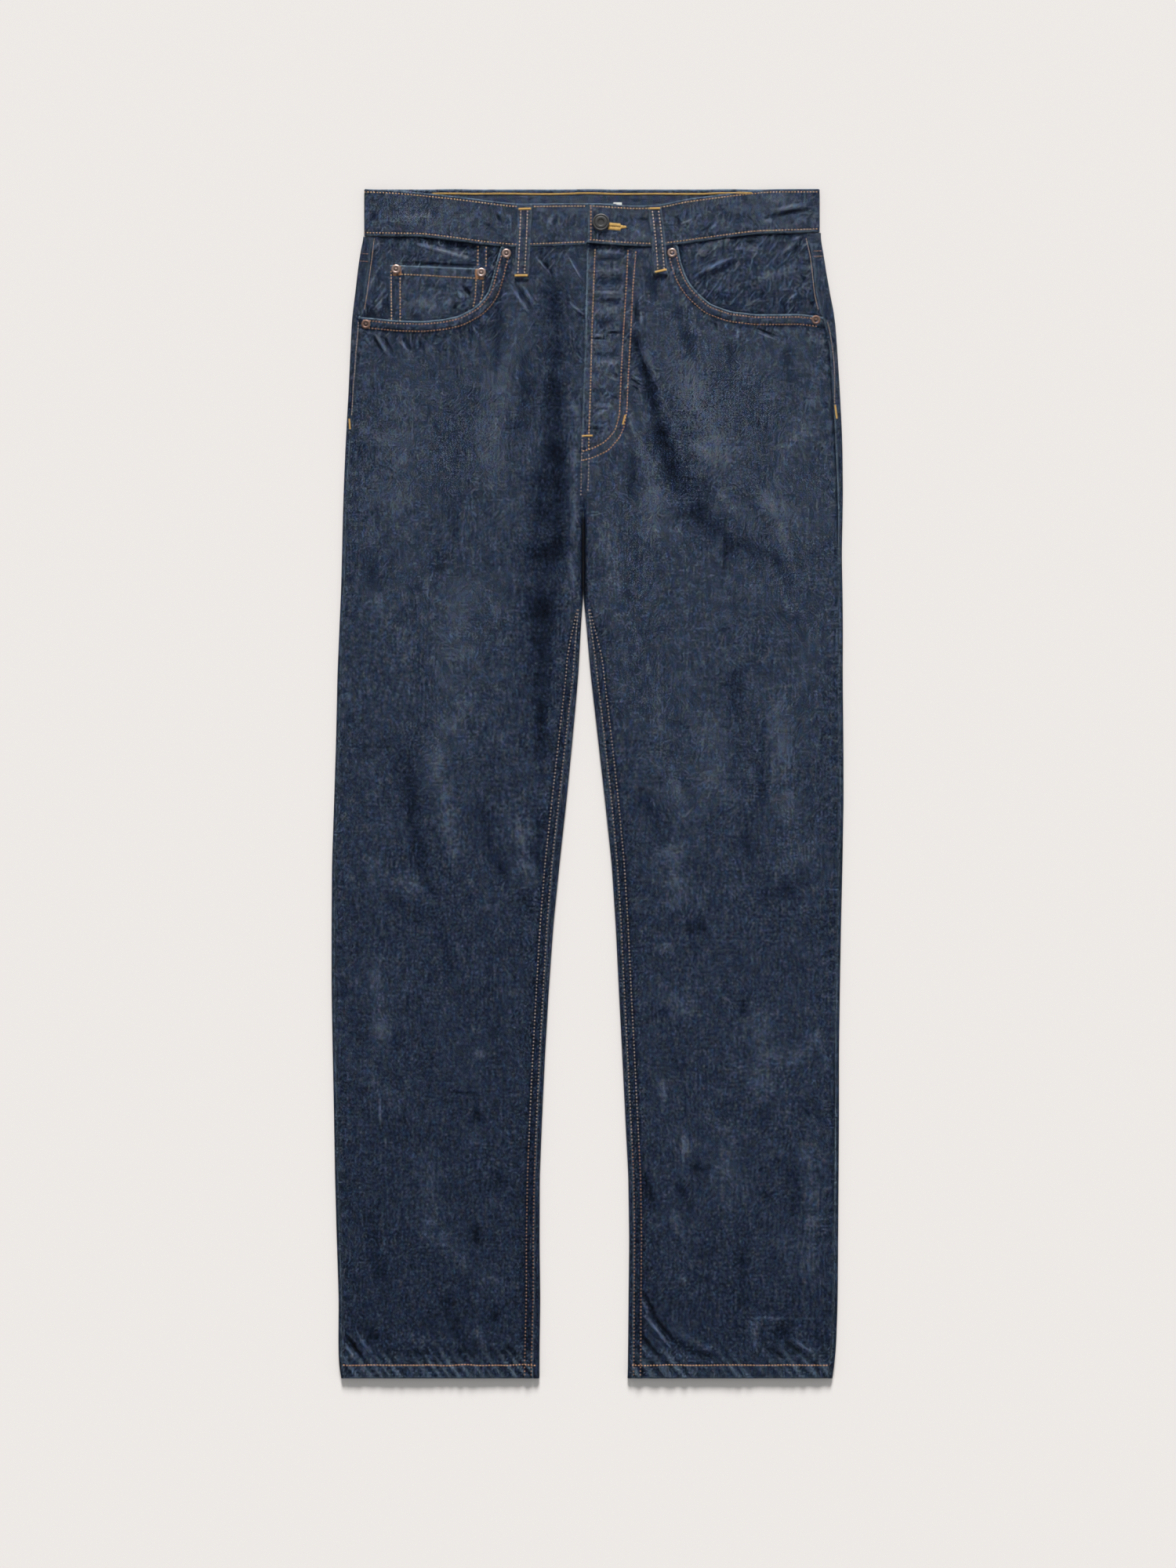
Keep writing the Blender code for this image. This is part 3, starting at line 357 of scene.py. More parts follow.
def cloth(name, points, weave, wall, faceUp, marks, finish, rounding=0.35):
    # points, weave and marks hold one entry a grid point; the wall grows inwards from the points;
    # finish: one material for the outside and the rim, one for the inside
    rows, columns = points.shape[:2]
    piece = newPiece(name, bpy.ops.mesh.primitive_grid_add, x_subdivisions=columns - 1, y_subdivisions=rows - 1,
                     size=1)
    mesh = piece.data
    mesh.vertices.foreach_set("co", (points * mm).astype(np.float32).ravel())
    corners = np.zeros(len(mesh.loops), np.int32)
    mesh.loops.foreach_get("vertex_index", corners)
    layer = mesh.uv_layers[0]
    layer.name = "weave"
    layer.data.foreach_set("uv", (weave.reshape(-1, 2)[corners] * mm).astype(np.float32).ravel())
    for key, values in marks.items():
        addMark(mesh, key, np.broadcast_to(values, (rows, columns)))
    row, column = rows // 2, columns // 2
    middle = points[row, column]
    if (np.cross(points[row, column + 1] - middle, points[row + 1, column] - middle)[2] > 0) != faceUp:
        mesh.flip_normals()
    thickest = float(np.max(wall))
    group = piece.vertex_groups.new(name="wall")
    flat = np.broadcast_to(wall, (rows, columns)).ravel() / thickest
    for level in np.unique(np.round(flat, 3)):
        group.add(np.flatnonzero(np.isclose(flat, level, atol=0.0006)).tolist(), float(level), "REPLACE")
    active("SOLIDIFY", thickness=thickest * mm, offset=-1.0, vertex_group="wall", material_offset=1,
           material_offset_rim=0)
    if rounding:
        active("BEVEL", width=rounding * mm, segments=2, limit_method="ANGLE", angle_limit=math.radians(55))
    bpy.ops.object.shade_smooth_by_angle(angle=math.radians(50))
    piece.vertex_groups.clear()
    for made in finish:
        mesh.materials.append(made)
    return piece


def creased(x, y, creases):        # height of the listed creases, and the painted highlight or shade they put into the colour
    height = np.zeros(x.shape)
    shade = np.zeros(x.shape)
    for number, (x0, y0, x1, y1, x2, y2, width, depth, *own) in enumerate(creases):
        t = np.linspace(0.0, 1.0, 13)[:, None]
        start, end = np.array([x0, y0]), np.array([x2, y2])
        middle = 2.0 * np.array([x1, y1]) - (start + end) / 2.0
        line = (1 - t) ** 2 * start + 2 * t * (1 - t) * middle + t ** 2 * end
        low, high = line.min(0) - 3.0 * width, line.max(0) + 3.0 * width
        near = (x > low[0]) & (x < high[0]) & (y > low[1]) & (y < high[1])
        if not near.any():
            continue
        gap, place = nearLine(x[near], y[near], line)
        length = lineLength(line)[-1]
        ends = ease(place / (0.24 * length)) * ease((length - place) / (0.24 * length))
        uneven = 1.0 + 0.3 * ripple(place, number + 5, 18.0, 60.0)
        form = bell(gap, width) * ends * uneven
        height[near] += depth * form
        # the crease's painted highlight or shade
        tone = own[0] if own else (1.2 if depth > 0.0 else -0.85) * min(1.0, abs(depth) ** 0.7, 6.0 / width)
        shade[near] += tone * form
    return height, shade


def edgeDrop(distance, radius):        # a rounded edge
    inside = np.clip(1.0 - distance / radius, 0.0, 1.0)
    return -radius * (1.0 - np.sqrt(1.0 - inside ** 2))


def groove(distance, depth=0.22, width=0.9):        # the line that a row of stitches draws into the cloth
    return -depth * bell(distance, width)


# Shader building

class Wire:
    # one socket of a node tree; arithmetic on it adds Math nodes
    def __init__(self, tree, socket=None):
        self.tree = tree
        self.socket = socket

    def add(self, kind, settings=None, sockets=None, output=0):
        made = self.tree.nodes.new(kind)
        for key, value in (settings or {}).items():
            if key == "stops":
                ramp = made.color_ramp
                while len(ramp.elements) < len(value):
                    ramp.elements.new(1.0)
                for element, (place, colour) in zip(ramp.elements, value):
                    element.position = place
                    element.color = (*colour, 1.0)
            else:
                setattr(made, key, value)
        for key, value in (sockets or {}).items():
            if isinstance(value, Wire):
                self.tree.links.new(value.socket, made.inputs[key])
            else:
                made.inputs[key].default_value = value
        return Wire(self.tree, made.outputs[output])

    def math(self, operation, first, second=0.0):
        return self.add("ShaderNodeMath", {"operation": operation}, {0: first, 1: second})

    def __add__(self, other):
        return self.math("ADD", self, other)

    __radd__ = __add__

    def __sub__(self, other):
        return self.math("SUBTRACT", self, other)

    def __rsub__(self, other):
        return self.math("SUBTRACT", other, self)

    def __mul__(self, other):
        return self.math("MULTIPLY", self, other)

    __rmul__ = __mul__

    def clamped(self, low=0.0, high=1.0):
        return self.math("MINIMUM", self.math("MAXIMUM", self, low), high)

    def scaled(self, x, y, z=1.0):
        return self.add("ShaderNodeVectorMath", {"operation": "MULTIPLY"}, {0: self, 1: (x, y, z)})

    def times(self, factor):        # a colour brightened or darkened by a factor
        return self.add("ShaderNodeVectorMath", {"operation": "SCALE"}, {0: self, "Scale": factor})

    def mark(self, name):
        return self.add("ShaderNodeAttribute", {"attribute_name": name}, output=2)

    def place(self):
        return self.add("ShaderNodeTexCoord", output=3)

    def bump(self, strength, distance, height):
        return self.add("ShaderNodeBump", {}, {"Strength": strength, "Distance": distance, "Height": height})

    def noise(self, scale, detail=2.0, roughness=0.5, dimensions="2D", output=0):
        return self.add("ShaderNodeTexNoise", {"noise_dimensions": dimensions},
                        {"Vector": self, "Scale": scale, "Detail": detail, "Roughness": roughness}, output)


def newFinish(name):
    made = bpy.data.materials.new(name)
    made.use_nodes = True
    return made, Wire(made.node_tree), made.node_tree.nodes["Principled BSDF"]


def mixed(wire, factor, first, second, blend="MIX"):
    colours = {6: first, 7: second}
    for key, value in colours.items():
        if not isinstance(value, Wire):
            colours[key] = (*value, 1.0)
    return wire.add("ShaderNodeMix", {"data_type": "RGBA", "blend_type": blend}, {0: factor, **colours}, 2)


def plug(wire, shader, **values):
    for key, value in values.items():
        name = key.replace("_", " ")
        if isinstance(value, Wire):
            wire.tree.links.new(value.socket, shader.inputs[name])
        else:
            shader.inputs[name].default_value = value


denim = {
    "indigo": (0.0105, 0.0206, 0.0474),       # the dyed warp
    "grey": (0.0246, 0.0278, 0.0320),         # warm flecks of the undyed weft
    "worn": (0.1550, 0.2200, 0.2800),         # where the dye has rubbed off an edge
    "weft": (0.1900, 0.2000, 0.2150),         # the pale wrong side
    "twillPitch": 1.49,                       # mm between twill lines, across
    "twillLean": 0.8,
    "twill": 1.7,                             # how much each part lightens or darkens the cloth
    "grain": 5.3,
    "hatch": 4.6,
    "yarn": 1.7,
    "slub": 1.6,
    "weftSlub": 1.35,
    "patch": 0.68,
    "mottle": 1.8,
    # painted highlight and painted shade of the fine folds
    "foldLight": 2.6,
    "foldDark": 2.4,
    "lift": 0.445,
    "tint": 0.44,
    "scuffAndHighlight": 9.0,                             # pale fine strokes where the cloth is crumpled, partly rubbed and partly painted highlight on the crinkles
    "noises": {                               # stretch across and along, scale, detail and roughness
        "grain": (1.0, 0.42, 1560.0, 1.0, 0.5),
        "hatch": (0.42, 1.0, 1560.0, 1.0, 0.5),
        "slub": (1.0, 0.08, 520.0, 2.0, 0.6),
        "weftSlub": (0.1, 1.0, 520.0, 2.0, 0.6),
        "patch": (1.0, 0.42, 42.0, 5.0, 0.62),
        "mottle": (1.0, 0.6, 170.0, 4.0, 0.9),
        "hue": (1.0, 0.45, 240.0, 4.0, 0.7),
        "crinkle": (1.0, 0.7, 95.0, 4.0, 0.55),
        "fold": (0.8, 1.0, 75.0, 2.0, 0.5),
    },
}


# each fine fold is bumped into the surface and also paints its highlight or shade into the denim's colour
fineFolds = {        # x and y of both ends of each, half its width, and how far it stands up or sinks
    "frontRight": [
        (-50.8, 486.7, -33.8, 466.6, 1.8, 0.9), (-46.5, 485, -30, 465, 2.3, -0.8),
        (-20.9, 487.4, -2.9, 458.2, 1.8, 0.8), (-17.3, 441.4, -3.6, 429.1, 2.1, 0.8),
        (-14, 437, -2, 426, 2.1, -0.6), (-74.2, 461.5, -51.8, 427.7, 2.1, 0.7), (-66, 466, -44, 432, 2.1, 0.6),
        (-70, 464, -48, 430, 2.1, -0.6), (-199, 413.6, -187.2, 394.8, 2.1, -1),
        (-197.3, 415.4, -180, 389.5, 2.5, 0.8), (-190, 414, -176, 392, 2.3, -0.7),
        (-175, 410.4, -163, 393.1, 2.1, 0.7), (-170, 411, -160, 395, 2.1, -0.6),
        (-156, 411, -150, 396, 2.1, -0.6), (-106.6, 420.5, -99.6, 408.5, 1.6, 0.7),
        (-110.2, 417.6, -105.1, 407.5, 1.8, -0.6), (-130, 413, -127, 402, 2.3, 0.5),
        (-138, -282, -94, -284, 2.1, -0.5), (-191.5, -282, -190.5, -318, 2.3, 0.6),
        (-224, -502.7, -204, -529.7, 2.8, -1.2), (-227.7, -508.6, -210.7, -530.6, 2.5, 0.8),
        (-214, -500.6, -196, -526.6, 2.8, 0.7),
    ],
    "frontLeft": [
        (78, 280.9, 116, 278.5, 2.1, -0.35), (126, 246, 126, 187, 3, -0.45),
        (44.6, 444.2, 44.6, 420.5, 2.8, -0.8), (49, 434, 49, 420, 2.3, 0.7),
        (74.9, 461.5, 79.9, 475.2, 2.1, 0.7), (114.5, 424, 119.5, 415.4, 2.1, -0.9),
        (136.8, 420.5, 136.8, 406, 2.3, 0.7), (152.6, 418.3, 174.9, 409.7, 1.6, -1),
        (152.6, 414.8, 174.6, 406.2, 1.7, 0.8), (190, 333.4, 196.6, 334, 2.3, 0.5),
        (141.8, 312.5, 154, 312.5, 2.3, 0.4), (0, 409, 16.6, 407.5, 1.8, -1), (0, 412, 16.6, 410.6, 1.8, 0.7),
        (15.1, 413.6, 33.8, 413.6, 2.1, -0.8), (20.2, 377.6, 30.2, 372.5, 1.7, -0.8),
        (18, 373, 30, 368.6, 2, 0.6), (37.4, 372.5, 49.4, 365, 1.5, -1), (38, 376.5, 50, 369, 1.5, 0.6),
        (38, 366.6, 49, 360, 1.5, -0.6), (18.7, 357.1, 28.8, 352.1, 1.8, -0.7),
        (-2.2, 325.4, 15.1, 325.4, 2.5, -0.8), (2.9, 336.5, 20.2, 343.4, 2.5, 0.7),
        (5.4, 489, 31.4, 487, 3, 0.7), (4.4, 481.7, 32.4, 480.7, 3, -0.6), (3.7, 450.4, 30.7, 450.4, 3, 0.6),
        (4, 442.8, 32, 442.8, 3, -0.7), (2.7, 347.8, 25.7, 345.8, 3, 0.5),
        (120, -488.7, 232, -491.7, 2.1, 0.35), (49.4, -463.6, 65.4, -493.6, 2.8, -0.9),
        (44.7, -463.2, 59.7, -495.2, 2.5, 0.6), (45.6, -479.2, 77.6, -519.2, 2.5, 1),
        (52.8, -479.8, 84.8, -517.8, 2.5, -0.9), (42.2, -497.2, 68.2, -529.2, 2.8, -1),
        (40.8, -505.8, 60.8, -531.8, 2.3, 0.7), (177.7, -509.6, 202.7, -527.6, 2.9, -1),
        (184, -506.6, 208, -522.6, 2.8, 0.7), (160, -514.6, 184, -528.6, 2.8, -0.7),
    ],
    "facingRight": [
        (-166.1, 497.8, -99.1, 479.1, 3, 1), (-203.3, 455, -193.9, 466.8, 2.5, 0.8),
        (-193.8, 432.1, -187, 449.1, 2.3, 0.8), (-91.1, 477.4, -84.2, 470.2, 2.3, 0.8),
        (-145, 491, -138, 492.5, 2.9, -0.6), (-181, 478.8, -95, 474.8, 2, -0.8),
        (-160.6, 500.9, -118.6, 494.9, 3, -0.5),
    ],
    "facingLeft": [
        (144, 497.5, 157, 497.5, 2.8, -0.7), (185, 497.5, 196.6, 502.6, 2.1, 1),
        (172.8, 483.8, 195.1, 499.7, 2.5, 0.7), (178, 482, 199, 497, 2.5, -0.6),
        (195.1, 468.7, 200.2, 458.6, 2.8, -0.7), (201.6, 439.2, 210.2, 442.8, 2.1, -1),
        (182.9, 442.8, 193.4, 451.4, 2.1, 0.8), (143.6, 437.8, 157.4, 446.4, 2.3, 0.6),
        (97.4, 466.2, 139.4, 486.2, 3, 0.9),
    ],
    "coin": [
        (-115.9, 457.2, -105.8, 447.1, 3, -1), (-120.2, 452.2, -113.8, 444.2, 2.9, 0.8),
        (-118.4, 441.4, -127, 432.7, 2.8, -0.9), (-124, 446, -133, 437, 2.8, 0.6),
    ],
    "band": [
        (-85, 524.9, -79.2, 514.1, 2.5, -0.9), (-75.6, 524.2, -70.6, 515.5, 2.5, 0.7),
        (-96.5, 514.8, -87.8, 509.8, 2.5, -0.6), (-31, 523.4, -38.2, 509.8, 3, 0.7),
        (-27, 522, -34, 509, 2.8, -0.5), (160.4, 519.3, 207.6, 528, 3, -1.2), (158.4, 516, 172, 517, 2.8, 0.6),
        (85.4, 513.4, 97.2, 518.4, 1.6, 0.8), (110.9, 508, 119.5, 515.5, 1.8, 0.7),
        (106, 507, 115, 514.5, 1.8, -0.6), (43.9, 517, 54.7, 517.7, 2.3, -0.7),
        (82.1, 524.9, 83.5, 506.2, 2.1, -0.6), (165.6, 525, 205.6, 533, 2.8, 0.7),
        (-117.4, 509.4, -99.4, 525.4, 3, 0.45), (36, 511.1, 52, 502.1, 2.8, 0.5),
        (-59.4, 508.1, -45.4, 521.1, 3, -0.4),
    ],
}


def foldLens(wire, place, x0, y0, x1, y1, width):        # 1 in the middle of a fold, 0 at its rim
    half = math.hypot(x1 - x0, y1 - y0) / 2.0
    settled = wire.add("ShaderNodeMapping", {"vector_type": "TEXTURE"}, {
        "Vector": place, "Location": ((x0 + x1) / 2.0 * mm, (y0 + y1) / 2.0 * mm, 0.0),
        "Rotation": (0.0, 0.0, math.atan2(y1 - y0, x1 - x0)), "Scale": (half * mm, width * mm, 1.0)})
    return wire.add("ShaderNodeTexGradient", {"gradient_type": "SPHERICAL"}, {"Vector": settled}, 1)


def denimFinish(name, folds=(), wrongSide=False):
    made, wire, shader = newFinish(name)
    weave = wire.add("ShaderNodeUVMap", {"uv_map": "weave"})
    split = weave.tree.nodes.new("ShaderNodeSeparateXYZ")
    weave.tree.links.new(weave.socket, split.inputs[0])
    across, along = Wire(wire.tree, split.outputs[0]), Wire(wire.tree, split.outputs[1])
    turns = 2.0 * math.pi / (denim["twillPitch"] * mm)
    twill = wire.math("SINE", across * turns - along * (turns * denim["twillLean"]))
    leaning = wire.add("ShaderNodeCombineXYZ", {},
                       {0: across * 0.78 - along * 0.62, 1: across * 0.62 + along * 0.78})
    noises = {key: weave.scaled(u, v).noise(*rest) for key, (u, v, *rest) in denim["noises"].items()}
    noises["yarn"] = wire.add("ShaderNodeTexVoronoi", {"voronoi_dimensions": "2D"},
                              {"Vector": weave.scaled(1.0, 0.7), "Scale": 1250.0}, 1)
    # the mark holds the dye's fade together with each piece's painted shade and highlight
    fade = wire.mark("fade")
    wear = wire.mark("wear")
    crumple = wire.mark("crumple")
    stroke = leaning.scaled(1.0, 0.16).noise(460.0, 2.0, 0.55)
    fold = wire.math("ABSOLUTE", noises["fold"] - 0.5)
    # partly painted highlight: pale strokes on the crinkles where the cloth is crumpled
    strokes = crumple * ((stroke - 0.57).clamped() * denim["scuffAndHighlight"] + (0.035 - fold).clamped() * 12.0 - 0.12)
    raised, tone = 0.0, 0.0
    # each fine fold paints its highlight or shade into the colour as well as bumping the surface
    for *line, rise in folds:
        lens = foldLens(wire, weave, *line)
        raised = lens * rise + raised
        tone = lens * (denim["foldLight"] * rise if rise > 0.0 else denim["foldDark"] * rise) + tone
    depth = twill * denim["twill"] + fade + strokes + tone
    for key in ("grain", "hatch", "yarn", "slub", "weftSlub", "patch", "mottle"):
        depth = depth + (noises[key] - 0.5) * denim[key]
    light = wire.math("EXPONENT", (depth - denim["lift"]).clamped(-3.4, 2.3))
    warm = ((noises["hue"] - 0.5) * 1.9 + 0.21 + depth * 0.16 + fade * 0.13).clamped()
    colour = mixed(wire, warm, denim["indigo"], denim["grey"])
    speckle = mixed(wire, denim["tint"], (0.5, 0.5, 0.5), weave.scaled(1.0, 0.6).noise(230.0, 4.0, 0.8, output=1))
    if wrongSide:
        colour = mixed(wire, (0.55 + twill * 0.25).clamped(), denim["indigo"], denim["weft"])
    colour = mixed(wire, 1.0, colour.times(light * 2.0), speckle, "MULTIPLY")
    rubbed = (wear * ((noises["grain"] - 0.5) * 3.4 + (noises["mottle"] - 0.5) * 2.6 + 0.62)).clamped()
    colour = mixed(wire, rubbed, colour, denim["worn"])
    height = twill * 0.1 + noises["grain"] * 0.4 + noises["slub"] * 0.1 + noises["crinkle"] * 0.3
    height = height - crumple * fold * 1.2 + raised * 1.4
    plug(wire, shader, Base_Color=colour, Normal=wire.bump(0.7, 0.001, height), Roughness=0.92, Sheen_Weight=0.02,
         Sheen_Roughness=0.5, Specular_IOR_Level=0.08)
    return made


denimOut = denimFinish("denim")
denimIn = denimFinish("denim_wrong_side", wrongSide=True)
bothSides = [denimOut, denimIn]
folded = {key: [denimFinish("denim_" + key, folds), denimIn] for key, folds in fineFolds.items()}


def dyeAndShadeAt(y, side):        # the leg is darkest at the hem and lighter over the hips, partly worn dye and partly painted shade
    tone = 0.13 - 0.63 * ease((380.0 - y) / 820.0) - 0.1 * ease((-420.0 - y) / 80.0)
    if side > 0:
        tone += 0.13 * ease((y + 250.0) / 500.0) + 0.07 * ease((y - 280.0) / 100.0)
        tone += 0.16 * bell(y + 310.0, 150.0)
    return tone


# Front panels

front = {
    "seamSteps": [0.0, 0.5, 1.1, 1.9, 2.9, 4.2, 6.0, 8.2, 10.6],
    "inseamSteps": [0.0, 0.5, 1.1, 1.8, 2.6, 3.4, 4.3, 5.3, 6.3, 7.2, 8.0, 8.8, 9.8, 11.4, 13.6, 16.4],
    "middle": 80,
    "hipStep": 1.8,
    "rowStep": 3.3,
    "upperRows": 80,                   # of the grid, above the level of the hips
    "inseamStitching": (1.6, 7.8),     # in from the inseam
    "inseamMiddle": 4.7,               # between the two rows
    "mouthStitching": (2.9, 9.4),      # in from the pocket mouth
    "underlap": 14.0,                  # how far the right front reaches under the fly at the waist
}
# a crease: x and y where it starts, halfway and where it ends, its half width, how far it stands up or sinks,
# and where it differs from the rest how much painted highlight or shade it puts into the cloth's colour
frontCreases = {
    -1: [
        (-34, 470, -30, 425, -30, 372, 8, -0.9, -0.6), (-30, 398, -31, 345, -28, 280, 9, -0.9, -0.8),
        (-26, 322, -26, 255, -29, 182, 8, -0.5, -0.8), (-34, 318, -45, 262, -42, 200, 12, -0.9, -0.68),
        (-42, 228, -43, 180, -43, 126, 16, -0.8, -0.68), (-43, 176, -43, 112, -43, 50, 11, -0.8, -0.7),
        (-42, 90, -43, 45, -43, -4, 6, -0.8, -0.55), (-45, 66, -44.5, 50, -43, 34, 4, -0.4, -0.5),
        (-44, -20, -45, -55, -46, -84, 4.5, -0.5, -0.5), (-12.5, 305, -12.5, 240, -14, 152, 3, 0.6, 0.5),
        (-50, 330, -56, 262, -54, 200, 8, 0.4, 0.22), (-83, 446, -83, 405, -86, 360, 4, -0.8, -0.6),
        (-66, 440, -68, 400, -66, 372, 6, 0.4, 0.25), (-15.8, 353.5, -11.5, 342.4, -7.2, 331.2, 3, 0.7),
        (-13.7, 311, -13.7, 299.5, -13.7, 288, 4, 0.5), (-79, 410, -87, 330, -94, 255, 13, 0.45),
        (-60, 405, -58, 360, -62, 310, 8, -0.35), (-160, 395, -172, 300, -176, 200, 20, 0.35),
        (-198, 220, -199, 195, -198, 172, 6, -0.4), (-122, 254, -123, 240, -122, 228, 4, -0.35),
        (-137, 218, -138, 200, -137, 186, 5, -0.3), (-102, 188, -90, 170, -78, 150, 5, 0.35),
        (-130, 210, -120, 120, -118, 30, 18, 0.3), (-176, 160, -176, 151.5, -176, 143, 5, -0.35),
        (-156, 156, -149, 155, -142, 154, 4, 0.35), (-140, 58, -130, 54, -118, 50, 7, 0.4),
        (-168, 44, -162, -20, -150, -94, 7.5, -0.7, -0.62), (-150, -84, -144, -94, -140, -104, 7, -0.4, -0.4),
        (-146, 60, -130, -20, -118, -90, 8, 0.4), (-99, -6, -92, -50, -74, -86, 6, -0.5, -0.42),
        (-82, -70, -79, -80, -74, -92, 5, -0.5, -0.45), (-62, -100, -56, -110, -50, -120, 3.4, -0.5),
        (-66, -20, -60, -60, -56, -96, 7, 0.35), (-136, -122, -131, -150, -121, -178, 5, -0.5, -0.42),
        (-227, -176, -227, -187, -227, -198, 5.5, -0.5, -0.5),
        (-196, -222, -191.5, -223, -187, -224, 3.6, 0.6), (-176, -222, -175.5, -233, -175, -244, 4, -0.4),
        (-92, -226, -86, -228.5, -80, -231, 5.5, -0.5), (-106, -247, -100, -248, -94, -249, 4.5, 0.5),
        (-105, -300, -101.5, -306, -98, -312, 5, -0.55), (-82, -352, -79.5, -360, -77, -368, 4.6, -0.55),
        (-104, -404, -102.5, -414, -101, -424, 3.6, -0.8), (-142, -408, -122, -432, -104, -450, 6, 0.55, 0.4),
        (-108, -448, -86, -456, -64, -462, 5, 0.5, 0.4), (-135, -464, -126, -488, -122, -510, 6, -0.5, -0.42),
        (-92, -480, -86, -486, -80, -492, 7, -0.5, -0.45), (-200, -390, -196, -430, -184, -466, 6, -0.35),
        (-150, -330, -144, -380, -146, -430, 9, 0.3), (-200, -150, -190, -210, -192, -260, 10, 0.25),
        (-206, -496, -199, -504, -192, -512, 6, -0.6, -0.5), (-78, -514, -72, -520, -66, -526, 4.5, -0.9),
        (-104, -498, -98, -510, -92, -524, 3, 0.4), (-122, -500, -114, -514, -108, -524, 3, -0.5),
        (-214, -519, -140, -521, -64, -520, 3.6, -0.5, -0.42), (-168, -504, -156, -509, -146, -510, 4, 0.35),
        (-218, 330, -196, 318, -170, 312, 5, 0.25), (-205, 180, -180, 150, -160, 104, 8, 0.24),
        (-206, -60, -176, -90, -140, -96, 8, 0.22), (-190, -96, -160, -120, -128, -122, 7, -0.22),
        (-214, -250, -188, -282, -160, -296, 8, 0.2),
    ],
    1: [
        (38.8, 420.4, 51, 386, 60, 350, 4.2, -1, -1.1), (52, 388, 62, 340, 76, 300, 5.6, -0.9, -0.8),
        (64, 334, 72, 302, 86, 270, 9, -0.9, -0.95), (84, 286, 100, 250, 130, 226, 12, -0.8, -0.68),
        (120, 229, 146, 214, 168, 213, 9, -0.5, -0.48), (168, 214, 178, 197, 195, 181, 4, -0.7, -0.55),
        (160, 270, 174, 240, 190, 206, 4.5, 0.4), (118, 274, 128, 260, 140, 248, 5, 0.35),
        (92, 318, 112, 300, 132, 288, 7, 0.35), (51.1, 477.4, 61.2, 455, 59.8, 441.4, 5, -0.6, -0.5),
        (78.5, 444.5, 88.6, 413.6, 102.2, 377.6, 5, -0.7, -0.4),
        (128.2, 412, 130, 396.7, 131.8, 379.4, 3, -0.8, -0.45),
        (184.8, 408.5, 182.9, 379.4, 190.1, 362.2, 5, -0.5), (42, 322, 40, 290, 40, 256, 4.5, -0.6, -0.55),
        (57, 304, 60, 258, 58, 214, 8, 0.35), (12, 264, 18, 220, 25, 156, 7, 0.45, 0.38),
        (82, 405, 108, 331, 151, 276, 13, 0.4), (151, 276, 188, 245, 212, 222, 8, 0.3),
        (5, 471, 18, 470, 33, 472, 2.8, 0.6), (4, 462, 18, 461, 33, 463, 3, -0.6),
        (3, 434, 16, 433, 30, 436, 2.8, 0.55), (3, 425, 17, 424, 31, 426, 2.8, -0.55),
        (3, 396, 17, 393, 31, 396, 3, -0.6), (3, 388, 16, 386, 29, 388, 2.8, 0.5),
        (2, 362, 14, 360, 24, 362, 3, -0.5), (49, 406, 56, 386, 66, 366, 3, 0.6),
        (36, 340, 44, 322, 50, 300, 3.4, 0.4), (30, 318, 44, 306, 60, 298, 3, 0.3),
        (58, 106, 65, 70, 66, 28, 5, 0.5, 0.4), (132, 112, 137, 86, 134, 58, 7.5, -0.5, -0.42),
        (158, 62, 159, 0, 156, -34, 3.6, -0.55, -0.42), (142, -38, 147, -56, 150, -76, 5, -0.5, -0.4),
        (171, 104, 180, 10, 186, -76, 12, 0.3), (104, 80, 110, 20, 112, -40, 14, 0.25),
        (70, -40, 80, -90, 84, -124, 12, 0.3), (88, -134, 98, -131, 110, -130, 6, -0.5),
        (56, -155, 68, -151, 80, -146, 4.6, 0.55), (66, -206, 70.5, -208.5, 75, -211, 4, -0.55),
        (143, -196, 143, -205, 143, -214, 3, -0.9), (66, -270, 69, -282, 70, -292, 4, 0.9),
        (82, -310, 88, -328, 89, -348, 4, 0.7), (97, -346, 100, -352, 103, -358, 4.6, -0.7),
        (80, -364, 88, -378, 96, -392, 4, -0.8), (49, -348, 55, -372, 62, -394, 4, -0.7),
        (73, -388, 84, -408, 91, -428, 6, 0.5, 0.4), (80, -452, 86, -454, 92, -456, 4.6, 0.6),
        (150, -190, 160, -250, 154, -300, 14, 0.25), (124, -300, 128, -350, 124, -400, 10, 0.25),
        (200, -300, 204, -400, 198, -480, 9, 0.25), (180, -344, 190, -372, 188, -404, 7, -0.35),
        (136, -420, 142, -450, 140, -480, 6, -0.3), (72, -502, 98, -521, 136, -528, 3, -0.75),
        (76, -498, 96, -511, 122, -518, 3, 0.4), (151, -488, 152, -504, 152, -520, 4, 0.6),
        (172, -496, 178, -501, 184, -506, 7, -0.45), (206, -498, 216, -516, 222, -528, 3, -0.4),
        (204, 330, 184, 312, 160, 306, 6, 0.24), (54, 40, 76, 4, 92, -44, 7, 0.25),
        (42, 0, 62, -36, 76, -84, 6, -0.25), (214, -40, 190, -70, 160, -80, 8, 0.22),
        (206, -76, 180, -98, 150, -106, 7, -0.22), (220, -220, 196, -246, 168, -256, 8, 0.2),
        (60, -180, 82, -200, 108, -206, 7, 0.22),
    ],
}


